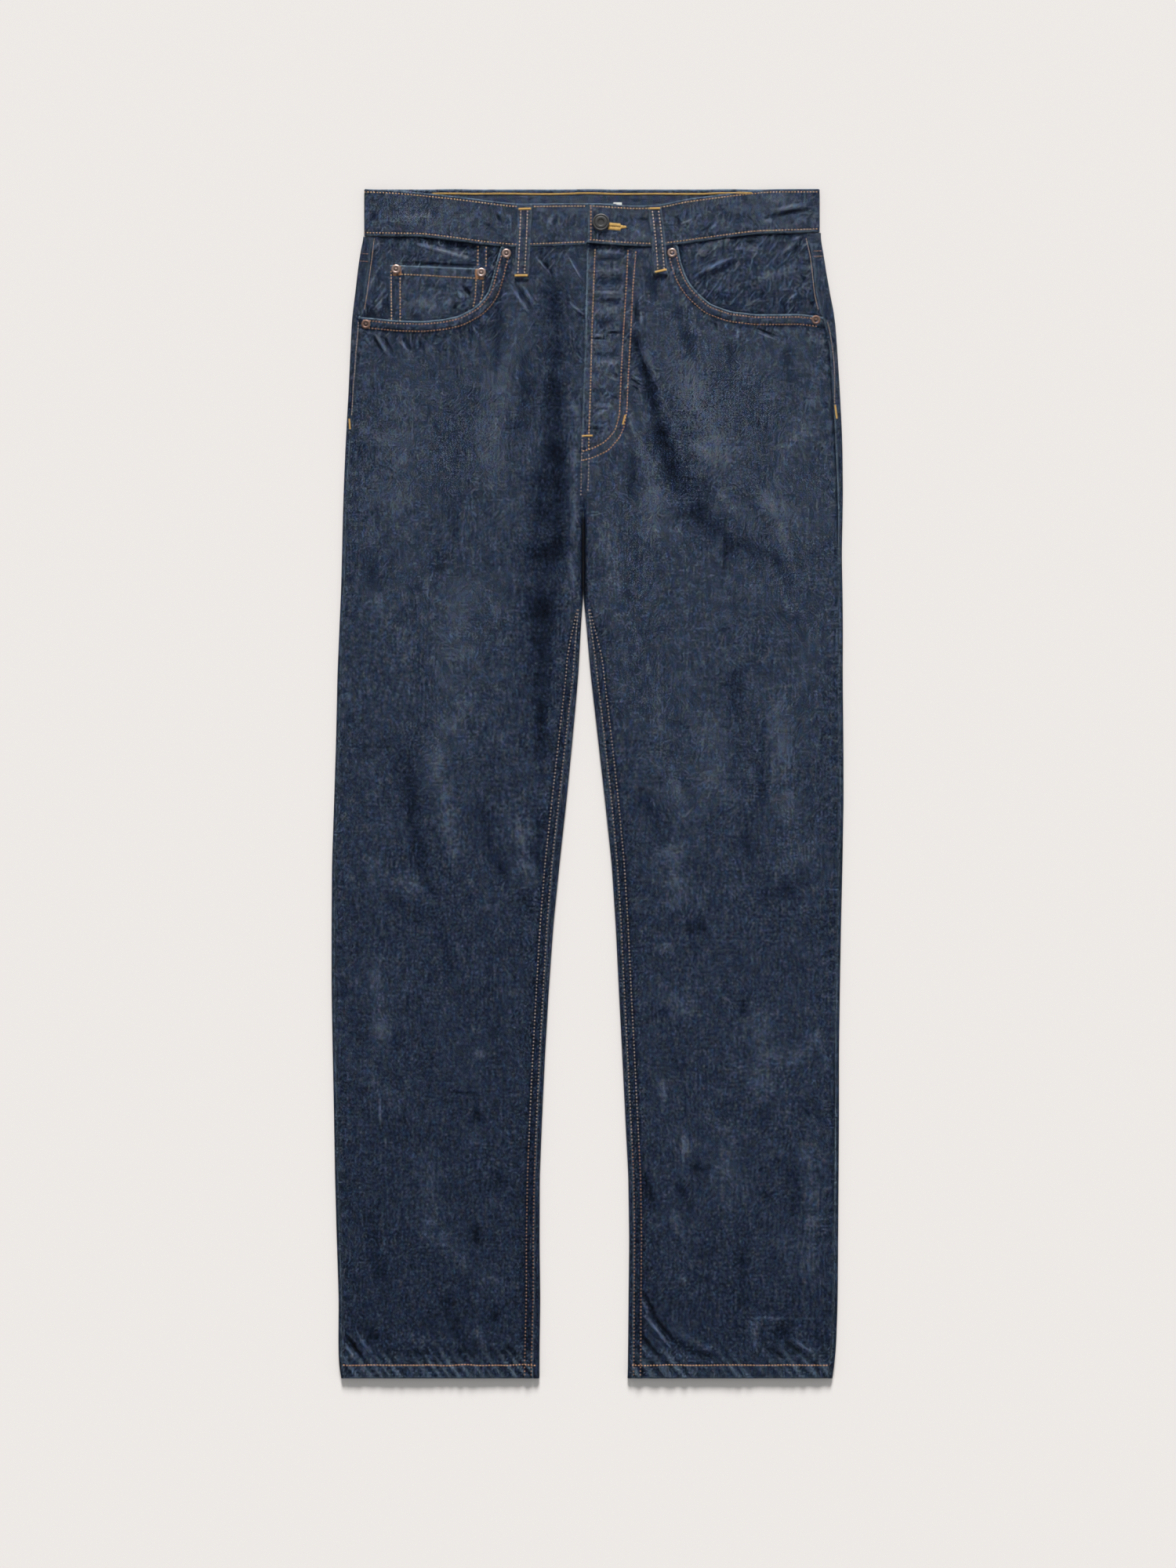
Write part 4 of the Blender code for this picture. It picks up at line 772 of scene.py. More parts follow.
rimSteps = [0.0, 0.012, 0.03, 0.055, 0.085]        # close rows at a piece's upper edge, as shares of its height
sideSeam = {        # levels, and there how much painted shade lies in the seam beside the cloth and how much its edge is rubbed
    -1: {
        "seamShade": ([-545.0, 320.0, 345.0, 425.0, 440.0], [0.15, 0.2, 0.5, 0.6, 0.2]),
        "rubbed": ([-545.0, 200.0, 300.0, 340.0], [0.3, 0.35, 0.55, 0.2]),
    },
    1: {
        "seamShade": ([-545.0, -400.0, -370.0, -250.0, -220.0, 190.0, 240.0, 425.0, 440.0],
                   [0.15, 0.2, 0.6, 0.6, 0.15, 0.2, 0.9, 1.0, 0.3]),
        "rubbed": ([-545.0, -400.0, -370.0, -300.0, -280.0, 200.0, 250.0, 330.0, 345.0],
                   [0.3, 0.3, 0.7, 0.7, 0.3, 0.3, 0.8, 0.8, 0.3]),
    },
}


def frontRow(side, y):        # x of each column, and how far it hangs below the top of the roll
    radius = innerRadius(y)
    along = turnAt(y) * seamOnRoll(side, y) - np.array(front["inseamSteps"][::-1])
    inward, height = rollPath(along, radius)
    innerX = frontInner(side, y) + side * inward
    first = seamX(side, y) - side * np.array(front["seamSteps"])
    middle = np.linspace(first[-1], innerX[0], front["middle"] + 1)[1:-1]
    x = np.concatenate([first, middle, innerX])
    return x, np.concatenate([np.zeros(len(x) - len(innerX)), height - 2.0 * radius])


def hemRope(x, y, side):        # the diagonal puckers along a hem
    rise = y - body["hemStitch"]
    return ripple(x + 0.75 * rise, 31 + side, 7.0, 15.0) * np.exp(-np.maximum(rise, 0.0) / 9.0)


def inseamSpread(y):        # the topstitching starts at the seam itself and moves away from it
    return 0.12 + 0.88 * ease((170.0 - y) / 62.0)


def frontGrid(side):        # x and y of the rows from the waistband to the hem, and how far each point hangs
    straight = np.concatenate([np.arange(body["hipLevel"], 240.0, -front["hipStep"]),
                               np.arange(240.0, -440.0, -front["rowStep"]), np.arange(-440.0, -520.0, -2.2),
                               np.arange(-520.0, -543.5, -1.0), [-544.0, -544.6, -545.0]])
    sections = [frontRow(side, y) for y in straight]
    lower = np.array([joined(x, np.full(len(x), y)) for (x, _), y in zip(sections, straight)])
    mouth = mouths[side]
    lap = flyEdge(500.0) + (front["underlap"] if side < 0 else 0.0)
    bandPart = bandBottoms[side][::-side]
    reach = bandPart[:, 0] * side
    bandPart = bandPart[(reach < mouth[-1, 0] * side - 1.0) & (reach > lap * side + 0.5)]
    topLine = np.concatenate([mouth, bandPart, [[lap, bandPart[-1, 1]]]])
    topLine[len(mouth):, 1] -= 0.25
    topLine[0, 0] = seamX(side, mouth[0, 1])
    share = np.abs(lower[0, :, 0] - lower[0, 0, 0])
    top = onLine(topLine, share / share[-1] * lineLength(topLine)[-1])
    steps = np.concatenate([rimSteps, np.linspace(0.12, 1.0, front["upperRows"])])[:-1]
    upper = top + (lower[0] - top) * steps[:, None, None]
    upper[:, 0, 0] = seamX(side, upper[:, 0, 1])
    hang = np.concatenate([np.zeros(upper.shape[:2]), [drop for _, drop in sections]])
    return np.concatenate([upper, lower]), hang


def makeFront(side):
    name = sideNames[side]
    mouth = mouths[side]
    grid, hang = frontGrid(side)
    x, y = grid[..., 0], grid[..., 1]
    z = draped(treeOf("front_" + name), x, y, 34, 12)
    fromSeam = np.abs(x - seamX(side, y))
    fromInseam = np.abs(x - frontInner(side, y)) - outlineAt(side, "inseamGap", y)
    below = ease((238.0 - y) / 14.0)        # 0 at the fly, 1 along the legs
    mouthGap, mouthPlace = nearLine(x, y, mouth)
    bandGap = np.abs(lineY(bandBottoms[side], x) - y)
    fromHemStitch = y - body["hemStitch"]
    height, shade = creased(x, y, frontCreases[side])
    quiet = ease(fromSeam / 9.0) * (1.0 - below * (1.0 - ease(fromInseam / 9.0)))
    height = height * quiet * ease(fromHemStitch / 8.0)
    height += 0.22 * swell(x, y, 3 + side, 46.0) * quiet + 0.14 * swell(x, y, 7 + side, 19.0) * quiet
    # seam ridges, stitched grooves and the puckers between them
    onTop = ease((body["inseamOnTop"] - y) / 12.0)
    spread = inseamSpread(y)
    middle = front["inseamMiddle"] * spread
    for row in front["inseamStitching"]:
        height += onTop * groove(fromInseam - row * spread, 0.3)
    height += onTop * 0.55 * ease((8.9 * spread - fromInseam) / 1.5)
    ridge = onTop * bell(fromInseam - middle, 2.4)
    rungs = ripple(y + 0.4 * side * fromInseam, 51 + side, 3.6, 7.5)
    height += ridge * (0.2 + 0.34 * rungs)
    beside = onTop * bell(fromInseam - 11.5, 4.0)
    drawn = ripple(y + 1.2 * side * fromInseam, 55 + side, 5.0, 11.0)
    height += beside * 0.24 * drawn
    seamPuckers = ripple(y, 61 + side, 7.0, 15.0) * bell(fromSeam - 2.0, 5.5)
    height += 0.3 * seamPuckers
    for row in front["mouthStitching"]:
        height += groove(mouthGap - row, 0.4) * ease((y - 410.0) / 8.0)
    height += 0.7 * ease((10.6 - mouthGap) / 1.6)
    cells = bell(mouthGap - 6.0, 2.2)
    mouthRungs = ripple(mouthPlace, 71 + side, 3.8, 8.0)
    height += cells * (0.25 + 0.42 * mouthRungs)
    mouthStrokes = ripple(mouthPlace, 75 + side, 4.5, 9.0) * bell(mouthGap - 14.0, 3.6)
    height += 0.4 * mouthStrokes
    rope = hemRope(x, y, side)
    nearHem = ease((-505.0 - y) / 14.0)
    height += nearHem * (rope * (0.5 if side > 0 else 0.38) + groove(fromHemStitch, 0.3))
    height += 0.35 * ease(-fromHemStitch / 1.5)
    if side > 0:
        rows, between, flyRungs, shapeRungs = flyRelief(x, y)
        for gap in rows:
            height += groove(gap, 0.2)
        height += 0.22 * between + 0.3 * flyRungs
        height += 0.3 * shapeRungs
        fromFly = np.abs(x - flyEdge(y))
        height += (1.0 - below) * 0.5 * edgeDrop(fromFly, 0.9)
    height += edgeDrop(mouthGap, 1.0) + edgeDrop(bandGap, 0.8) + 0.7 * edgeDrop(fromSeam, 0.9)
    height += edgeDrop(y - body["hemEnd"], 1.1) + onTop * 0.7 * edgeDrop(np.abs(fromInseam), 0.9)
    z += height + hang
    # painted shade and highlight over the dye: darker in the seam, the gap below the crotch, under the waistband and
    # in the rows of stitches, paler on what stands up
    shade = np.where(shade < 0.0, 1.4 * shade, 1.05 * shade)
    fade = dyeAndShadeAt(y, side) + shade * quiet + 0.1 * swell(x, y, 7 + side, 19.0) * quiet
    # painted shade in the fold of the side seam
    seamShade = np.interp(y, *sideSeam[side]["seamShade"])
    fade -= 1.5 * seamShade * bell(fromSeam, 1.7)
    fade -= 0.3 * bell(bandGap, 5.0) + 0.75 * bell(bandGap, 1.5)
    fade += nearHem * (0.34 * rope + 0.2 * (fromHemStitch < 0.0))
    fade -= 2.2 * np.exp(-((x + 4.0) / 2.4) ** 4) * ease((248.0 - y) / 8.0) * ease((y - 158.0) / 26.0)
    fade -= 0.8 * bell(x + 4.0, 3.6) * ease((267.0 - y) / 8.0) * ease((y - 148.0) / 24.0)
    fade += 0.32 * cells * mouthRungs + 0.34 * mouthStrokes + 0.3 * seamPuckers
    fade += 0.26 * ridge * rungs + 0.2 * beside * drawn
    wear = most(bell(mouthGap, 1.35) * (1.15 + 0.35 * mouthRungs), onTop * bell(fromInseam - 0.3, 0.9) * 0.45,
                0.25 * (1.0 - seamShade) * bell(fromSeam, 1.2), 0.4 * nearHem * np.clip(rope, 0.0, 1.0),
                0.5 * bell(y - body["hemEnd"], 1.2))
    if side > 0:
        wear = most(wear, bell(fromFly, 1.0) * ease((y - 300.0) / 40.0) * (0.9 + 0.3 * flyRungs))
        fade += 0.3 * flyRungs + 0.3 * shapeRungs + 0.12 * ease((36.0 - x) / 4.0) * ease((y - 310.0) / 20.0)
        for gap in rows:
            fade -= 0.45 * bell(gap, 1.0)
    for row in front["mouthStitching"]:
        fade -= 0.5 * bell(mouthGap - row, 1.0)
    for row in front["inseamStitching"]:
        fade -= 0.9 * onTop * bell(fromInseam - row * spread, 1.1)
    fade -= 0.4 * nearHem * bell(fromHemStitch, 1.0)
    fade -= 0.3 * onTop * bell(fromInseam - middle, 3.6)
    fade -= 0.4 * onTop * bell(fromInseam - 9.4 * spread, 0.9)
    fade -= 0.55 * bell(mouthGap - 10.9, 1.1) + 0.15 * cells
    crumple = most(0.12 + 0.88 * bell(mouthGap - 12.0, 9.0) * (mouthGap > 3.0),
                   bell(bandGap, 26.0) * bell(np.abs(x) - 30.0, 24.0), 0.5 * bell(y + 525.0, 16.0))
    if side > 0:
        crumple = most(crumple, 0.75 * ease((44.0 - x) / 6.0) * ease((y - 300.0) / 30.0))
    marks = {"fade": fade, "wear": wear, "crumple": crumple}
    cloth("front_panel_" + name, joined(x, y, z), grid, wallAt(y), True, marks,
          folded["front" + name.capitalize()])


flyShape = {
    "edgeRow": smoothLine([(6.5, 491.0), (3.6, 416.2), (2.5, 371.5), (0.9, 322.0), (0.6, 306.0)], passes=16),
    "innerJ": smoothLine([(36.7, 490.3), (35.3, 460.1), (32.4, 413.3), (30.2, 371.5), (28.8, 337.7),
                          (24.5, 323.3), (15.1, 313.2), (2.9, 307.1), (-5.6, 304.9)], passes=10),
    "outerJ": smoothLine([(43.9, 488.9), (41.0, 452.9), (38.9, 408.2), (36.7, 371.5), (35.7, 342.4),
                          (33.1, 327.6), (28.8, 317.5), (18.4, 305.6), (3.6, 298.8), (-5.6, 296.6)], passes=10),
    "riseRight": smoothLine([(-5.0, 320.0), (-5.9, 296.0), (-6.6, 264.0)], passes=4),
    "riseLeft": smoothLine([(0.8, 303.0), (0.6, 286.0), (-0.2, 268.0)], passes=4),
}


def flyRelief(x, y):        # distances to its rows, where its edge is thick, and the puckers there and at the J
    rows = [nearLine(x, y, flyShape[key][::4])[0] for key in ("edgeRow", "innerJ", "outerJ")]
    between = np.where(y > 320.0, bell(x - flyEdge(y) - 3.4, 2.8), 0.0)
    _, inner, outer = rows
    shapeRungs = bell(inner - outer, 5.0) * bell(inner + outer - 7.0, 2.0) * ripple(y + 0.6 * x, 83, 4.2, 8.0)
    return rows, between, between * ripple(y, 81, 4.0, 8.0), shapeRungs


for side in sideNames:
    makeFront(side)
print("front panels laid")


# Back panels, yokes and pocket facings

back = {
    "rowStep": 3.9,                  # of the grid
    "edgeSteps": np.array([0.0, 0.5, 1.1, 1.9, 2.8, 3.8, 4.8, 5.8, 6.8, 7.9, 9.1, 10.4, 12.0, 14.0, 17.0, 20.0]),
    "middle": 34,
    "yokeSide": 483.0,               # level of the yoke's seam at the side and at the centre
    "yokeCentre": 434.0,
    "yokeGap": 0.15,
    "bandBottom": 505.5,
    "seamRows": (1.6, 7.6),          # topstitching, in from a seam
}


def backRow(side, sideY, centreY):
    # a section from the side seam, round the floor to the inner edge: points, and whether they lie on the floor
    radius = float(rollRadius(sideY))
    start = radius - outlineAt(side, "seamGap", sideY) + 0.3
    outward = start + back["edgeSteps"]
    inward, height = rollPath(outward, radius)
    outerX = outlineAt(side, "outer", sideY) - side * inward
    small = float(innerRadius(centreY))
    innerStart = turnAt(centreY) * (float(seamOnRoll(side, centreY)) + 0.3)
    inner = innerStart + back["edgeSteps"][::-1]
    innerIn, innerHeight = rollPath(inner, small)
    seam = seatX(np.clip(centreY, body["crotch"][1], body["backTop"][1]))
    edge = outlineAt(side, "inner", centreY)
    edge = edge + (seam + 0.2 * side - edge) * ease((centreY - body["flatFrom"]) / 10.0)
    innerX = edge + side * innerIn
    middle = np.linspace(outerX[-1], innerX[0], back["middle"] + 2)[1:-1]
    x = np.concatenate([outerX, middle, innerX])
    z = np.concatenate([height, np.zeros(len(middle)), innerHeight])
    onFloor = np.concatenate([outward >= math.pi * radius, np.ones(len(middle), bool),
                              inner >= math.pi * small])
    level = outlineAt(side, "outer", sideY) - side * radius
    share = np.clip((x - edge) / (level - edge), 0.0, 1.0)
    y = centreY + (sideY - centreY) * share
    return joined(x, y, z), onFloor


def slantedRows(top, low, count):        # levels at the side and in the middle of the rows between two
    return [tuple(a + (b - a) * t for a, b in zip(top, low)) for t in np.linspace(0.0, 1.0, count)]


def makeBack(side, part):
    name = sideNames[side]
    yokeSeam = back["yokeSide"], back["yokeCentre"]
    if part == "yoke":
        bandSide = bandBottoms[side][-1 if side > 0 else 0][1]
        ends = slantedRows((bandSide - 0.6, back["bandBottom"] - 0.6), yokeSeam, 17)
    else:
        ends = slantedRows([level - back["yokeGap"] for level in yokeSeam], [body["hipLevel"]] * 2, 28)
        lower = np.concatenate([np.arange(body["hipLevel"] - back["rowStep"], -520.0, -back["rowStep"]),
                                np.arange(-520.0, -543.5, -1.6), [-544.3, -545.0]])
        ends += [(y, y) for y in lower]
    sections = [backRow(side, float(sideY), float(centreY)) for sideY, centreY in ends]
    points = np.array([section[0] for section in sections])
    onFloor = np.array([section[1] for section in sections])
    x, y = points[..., 0], points[..., 1]
    raised = np.nan_to_num(castHeights(treeOf("back_" + name, "yoke_" + name), x, y, under=True))
    points[..., 2] += np.where(onFloor, np.clip(raised, 0.0, 1.6), 0.0)
    outer = outlineAt(side, "outer", y)
    onTop = ~onFloor & (np.arange(x.shape[1]) < 8)
    seam = seatX(y)
    fromSeat = np.where(y > body["crotch"][1], np.abs(x - seam), 99.0)
    fromYoke = y - back["yokeCentre"] - (back["yokeSide"] - back["yokeCentre"]) * \
        np.clip((x - seam) / (outer - seam), 0.0, 1.0)
    dents = np.zeros(x.shape)
    for row in back["seamRows"]:
        dents += groove(fromSeat - row) + groove(fromYoke - row) * (part == "yoke")
    dents += groove(y - body["hemStitch"])
    points[..., 2] -= np.where(onFloor, dents, 0.0)
    puckers = ripple(y, 91 + side, 6.0, 15.0)
    points[..., 2] += onTop * (0.3 * puckers - 0.05)
    free = np.abs(x - outer) - outlineAt(side, "seamGap", y)
    # painted highlight and shade on the puckers of the rolled side, painted shade along the stitched rows
    fade = dyeAndShadeAt(y, side) - 0.1 + 0.2 * swell(x, y, 13 + side, 60.0) + onTop * (0.25 * puckers - 0.2)
    rubbed = np.interp(y, *sideSeam[side]["rubbed"]) * bell(free + 0.5, 0.9)
    wear = onTop * (rubbed + 0.1 * np.clip(ripple(y, 95 + side, 8.0, 30.0), 0.0, 1.0))
    for row in back["seamRows"]:
        fade -= 0.3 * bell(fromSeat - row, 0.9) + 0.3 * bell(fromYoke - row, 0.9)
    if part == "yoke":
        fade += 0.2
    cloth("back_" + part + "_" + name, points, points[..., :2] * [-1.0, 1.0], wallAt(y), False,
          {"fade": fade, "wear": wear}, bothSides)


facingCreases = {
    -1: [
        (-133.9, 494.3, -103, 491, -91.4, 483.8, 3, -1), (-187, 436, -185.5, 441, -184, 446, 3, -0.8),
        (-200, 438, -199.5, 433, -199, 428, 3.4, -0.7), (-92.9, 486, -88.6, 482.4, -84.2, 478.8, 3, -0.9),
        (-204, 498, -198, 480, -197, 468, 3, -0.5),
    ],
    1: [
        (95.8, 462.5, 113, 467.6, 138.2, 482.4, 2.8, -1.2), (99.1, 482.4, 113, 494.2, 135.1, 501.1, 3.2, 0.9),
        (141.8, 491, 149.4, 489.2, 157, 487.5, 4, 0.55), (174.2, 441.4, 182.8, 437.8, 191.5, 434.2, 3, -0.6),
        (150, 462, 178, 470, 198, 482, 3.6, 0.4), (110, 450, 138, 447, 170, 452, 4.6, -0.45),
    ],
}


def visibleTree(name):        # a piece as it shows, for other pieces to lie on or under
    return BVHTree.FromObject(bpy.data.objects[name], bpy.context.evaluated_depsgraph_get())


def makeFacing(side):
    name = sideNames[side]
    mouth = mouths[side]
    columns, rows = 110, 76
    along = lineLength(mouth)
    even = np.linspace(0.0, along[-1], columns)
    tuck = 9.0 * ease(even / 16.0) - 0.2
    nearest = np.searchsorted(along, even).clip(0, len(mouth) - 1)
    bottom = onLine(mouth, even) + (offsetLine(mouth, side) - mouth)[nearest] * tuck[:, None]
    bottom[0, 0] = seamX(side, bottom[0, 1])
    topX = np.linspace(seamX(side, 504.0), mouth[-1, 0] - side * 9.0, columns)
    top = joined(topX, lineY(bandBottoms[side], topX) - 0.25)
    shares = np.concatenate([[0.0, 0.012, 0.03, 0.06], np.linspace(0.1, 1.0, rows - 4)])
    grid = top + (bottom - top) * shares[:, None, None]
    edgeSteps = np.array([0.0, 0.5, 1.1, 1.9, 2.9, 4.2])
    grid[:, :len(edgeSteps), 0] = seamX(side, grid[:, :1, 1]) - side * edgeSteps
    x, y = grid[..., 0], grid[..., 1]
    z = draped(treeOf("pocket_facing_" + name), x, y, 24, 6)
    fromSeam = np.abs(x - seamX(side, y))
    height, shade = creased(x, y, facingCreases[side])
    bandGap = lineY(bandBottoms[side], x) - y
    quiet = ease(fromSeam / 9.0)
    z += np.maximum(height, -0.7) * quiet + 0.25 * swell(x, y, 23 + side, 30.0) * quiet
    z += 0.7 * edgeDrop(fromSeam, 0.9) + groove(fromSeam - 2.6, 0.2) + 0.7 * edgeDrop(np.abs(bandGap), 0.8)
    puckers = ripple(y, 101 + side, 6.0, 13.0) * bell(fromSeam - 1.0, 5.0)
    drawn = ripple(x, 105 + side, 7.0, 16.0) * bell(bandGap - 3.0, 5.0)
    z += 0.3 * puckers + 0.35 * drawn
    mouthGap, _ = nearLine(x, y, mouth)
    z = np.fmin(z, castHeights(visibleTree("front_panel_" + name), x, y, under=True) - 0.2)
    # painted shadow along the pocket mouth and under the waistband, painted shade in the stitched groove, painted
    # highlight and shade on the puckers
    fade = 0.12 + 1.1 * shade - 0.6 * bell(mouthGap, 1.6) - 0.3 * bell(mouthGap, 6.0)
    fade -= 0.8 * bell(bandGap, 1.8) + 0.4 * bell(fromSeam - 2.6, 0.9)
    fade += 0.3 * puckers + 0.25 * drawn + 0.12 * swell(x, y, 23 + side, 16.0)
    wear = 0.45 * bell(fromSeam, 1.0)
    cloth("pocket_facing_" + name + "_cloth", joined(x, y, z), grid, body["wall"], True,
          {"fade": fade, "wear": wear, "crumple": 0.9}, folded["facing" + name.capitalize()])


coinCreases = [
    (-159.8, 443, -148.7, 440, -137.5, 437, 5, 0.6), (-150, 458, -143, 455, -136, 452, 4, -0.4),
    (-166, 432, -159, 429.5, -152, 427, 3, -0.5),
]


def makeCoinPocket():
    columns = 84
    top = np.linspace((-181.8, 476.3), (-93.4, 472.2), columns)
    low = smoothLine([(-181.4, 419.8), (-164.0, 418.8), (-150.0, 418.6), (-137.0, 419.6), (-125.0, 422.0),
                      (-114.0, 425.6), (-104.0, 431.0), (-95.4, 441.0)], passes=6)
    low = onLine(low, np.linspace(0.0, lineLength(low)[-1], columns))
    steps = np.concatenate([rimSteps, np.linspace(0.12, 1.0, 50)])
    grid = top + (low - top) * steps[:, None, None]
    grid[:, 1, 0] = grid[:, 0, 0] + 0.6
    grid[:, -2, 0] = grid[:, -1, 0] - 0.6
    x, y = grid[..., 0], grid[..., 1]
    z = draped(visibleTree("pocket_facing_right_cloth"), x, y, 12, 12) + 1.35
    fromLeft, fromRight = x - grid[:, :1, 0], grid[:, -1:, 0] - x
    fromTop = np.abs(lineY(top, x) - y)
    middle = ease(fromLeft / 22.0) * ease(fromRight / 22.0) * ease(fromTop / 14.0)
    z += 0.7 * middle + 0.35 * swell(x, y, 33, 26.0) * middle
    height, shade = creased(x, y, coinCreases)
    z += np.maximum(height, -0.8) + groove(fromTop - 9.4, 0.3) + groove(fromLeft - 1.4) + groove(fromLeft - 9.4)
    hemCells = ripple(x, 35, 5.0, 10.0) * bell(fromTop - 5.0, 3.4)
    sideCells = ripple(y, 37, 5.0, 9.0) * bell(fromLeft - 5.4, 3.0)
    z += groove(fromRight - 2.4) + groove(fromRight - 9.0) + 0.3 * hemCells + 0.35 * sideCells
    z += 0.2 * bell(fromLeft - 5.4, 3.0)
    z += 0.8 * (edgeDrop(fromTop, 1.0) + edgeDrop(fromLeft, 0.9) + edgeDrop(fromRight, 0.9))
    z = np.fmin(z, castHeights(visibleTree("front_panel_right"), x, y, under=True) - 0.1)
    mouthGap, _ = nearLine(x, y, mouths[-1])
    # painted shadow along the pocket mouth, painted shade in the stitched grooves, painted highlight and shade on the
    # puckers
    fade = 0.3 + 1.0 * shade - 0.5 * bell(mouthGap, 1.6) - 0.25 * bell(mouthGap, 6.0)
    fade -= 0.2 * bell(fromLeft - 5.4, 3.0) - 0.3 * hemCells - 0.3 * sideCells
    for gap in (fromTop - 9.4, fromLeft - 1.4, fromLeft - 9.4, fromRight - 2.4, fromRight - 9.0):
        fade -= 0.4 * bell(gap, 0.9)
    wear = most(0.9 * bell(fromTop, 1.3), 0.5 * bell(fromLeft, 1.0))
    cloth("coin_pocket_cloth", joined(x, y, z), grid, 1.1, True,
          {"fade": fade, "wear": wear, "crumple": 0.7}, folded["coin"])


backPocket = {        # on the garment's left it is mirrored
    "middle": {-1: -116.0, 1: 120.0},
    "level": 398.0,                  # of its upper corner
    "left": (-75.0, -65.0),          # from the middle, at the top and at the foot of the side
    "right": (75.0, 69.0),
    "low": (-130.0, -160.0, -132.0),
    "hem": 9.0,                      # how far down its opening is turned
    "stitching": (1.8, 7.8),
}


def makeBackPocket(side):
    u, v = np.meshgrid(np.linspace(0.0, 1.0, 41), np.linspace(0.0, 1.0, 43))
    left, right = [backPocket[key][0] + (backPocket[key][1] - backPocket[key][0]) * v for key in ("left", "right")]
    x = left + (right - left) * u
    low = np.interp(x, (backPocket["left"][1], 0.0, backPocket["right"][1]), backPocket["low"])
    top = np.interp(x, (-75.0, 75.0), (0.0, -5.0))
    y = top + (low - top) * v
    edge = np.minimum(np.minimum(x - left, right - x), np.minimum(top - y, y - low))
    z = -groove(top - y - backPocket["hem"], 0.15)
    for row in backPocket["stitching"]:
        z -= groove(edge - row, 0.15) * (top - y > backPocket["hem"])
    if side > 0:
        x, y, z, edge = (-x)[:, ::-1], y[:, ::-1], z[:, ::-1], edge[:, ::-1]
    x = x + backPocket["middle"][side]
    y = y + backPocket["level"]
    points = joined(x, y, z)
    marks = {"fade": 0.15 + 0.1 * swell(x, y, 43 + side, 40.0), "wear": 0.4 * bell(edge, 1.0)}
    cloth("back_pocket_" + sideNames[side] + "_cloth", points, points[..., :2] * [-1.0, 1.0], 0.98, False, marks,
          bothSides)


for side in sideNames:
    makeBack(side, "panel")
    makeBack(side, "yoke")
    makeFacing(side)
    makeBackPocket(side)
makeCoinPocket()
print("back, facings and pockets laid")


# Waistband and belt loops

band = {
    "wall": 2.15,
    "radius": 2.4,                   # its fold at the sides
    "reach": {1: 212.6, -1: 205.4},
    "sideLow": {1: 506.25, -1: 502.8},
    "underlap": 26.0,                # where the button end stops, under the other
    "underlapY": 496.6,
    "edgeRows": np.array([0.0, 0.5, 1.1, 1.9, 2.8, 3.7, 4.8, 6.4, 8.6]),
    "topRow": 2.9,                   # stitching, in from the top edge
    "lowRow": 2.8,
    "creases": [
        (-201, 522, -197.5, 519.5, -194, 517, 4, -0.8), (155.5, 540.7, 168.4, 537.1, 181.4, 533.5, 3.6, 0.7),
        (-190, 516, -170, 520, -140, 519, 4, 0.4), (-160, 528, -146, 522, -132, 524, 3, -0.35),
        (120, 523, 138, 519, 152, 522, 3, -0.4),
    ],
}


def frontBand(side, x):        # one front half of the waistband: x, height, lower and upper edge, and its turn
    bottom = lineY(bandBottoms[side], x)
    if side < 0:
        bottom = np.where(x < -1.0, bottom, band["underlapY"])
    height = castHeights(treeOf("waistband"), x, bottom + 8.0)
    if side < 0:
        height[x > -1.5] = np.nan
        height = np.interp(x, x[~np.isnan(height)], height[~np.isnan(height)])
    else:
        height[-1] = 2.0 * band["radius"]
    return x, softened(height, 22), bottom, lineY(bandTops[side], x), np.zeros(len(x))


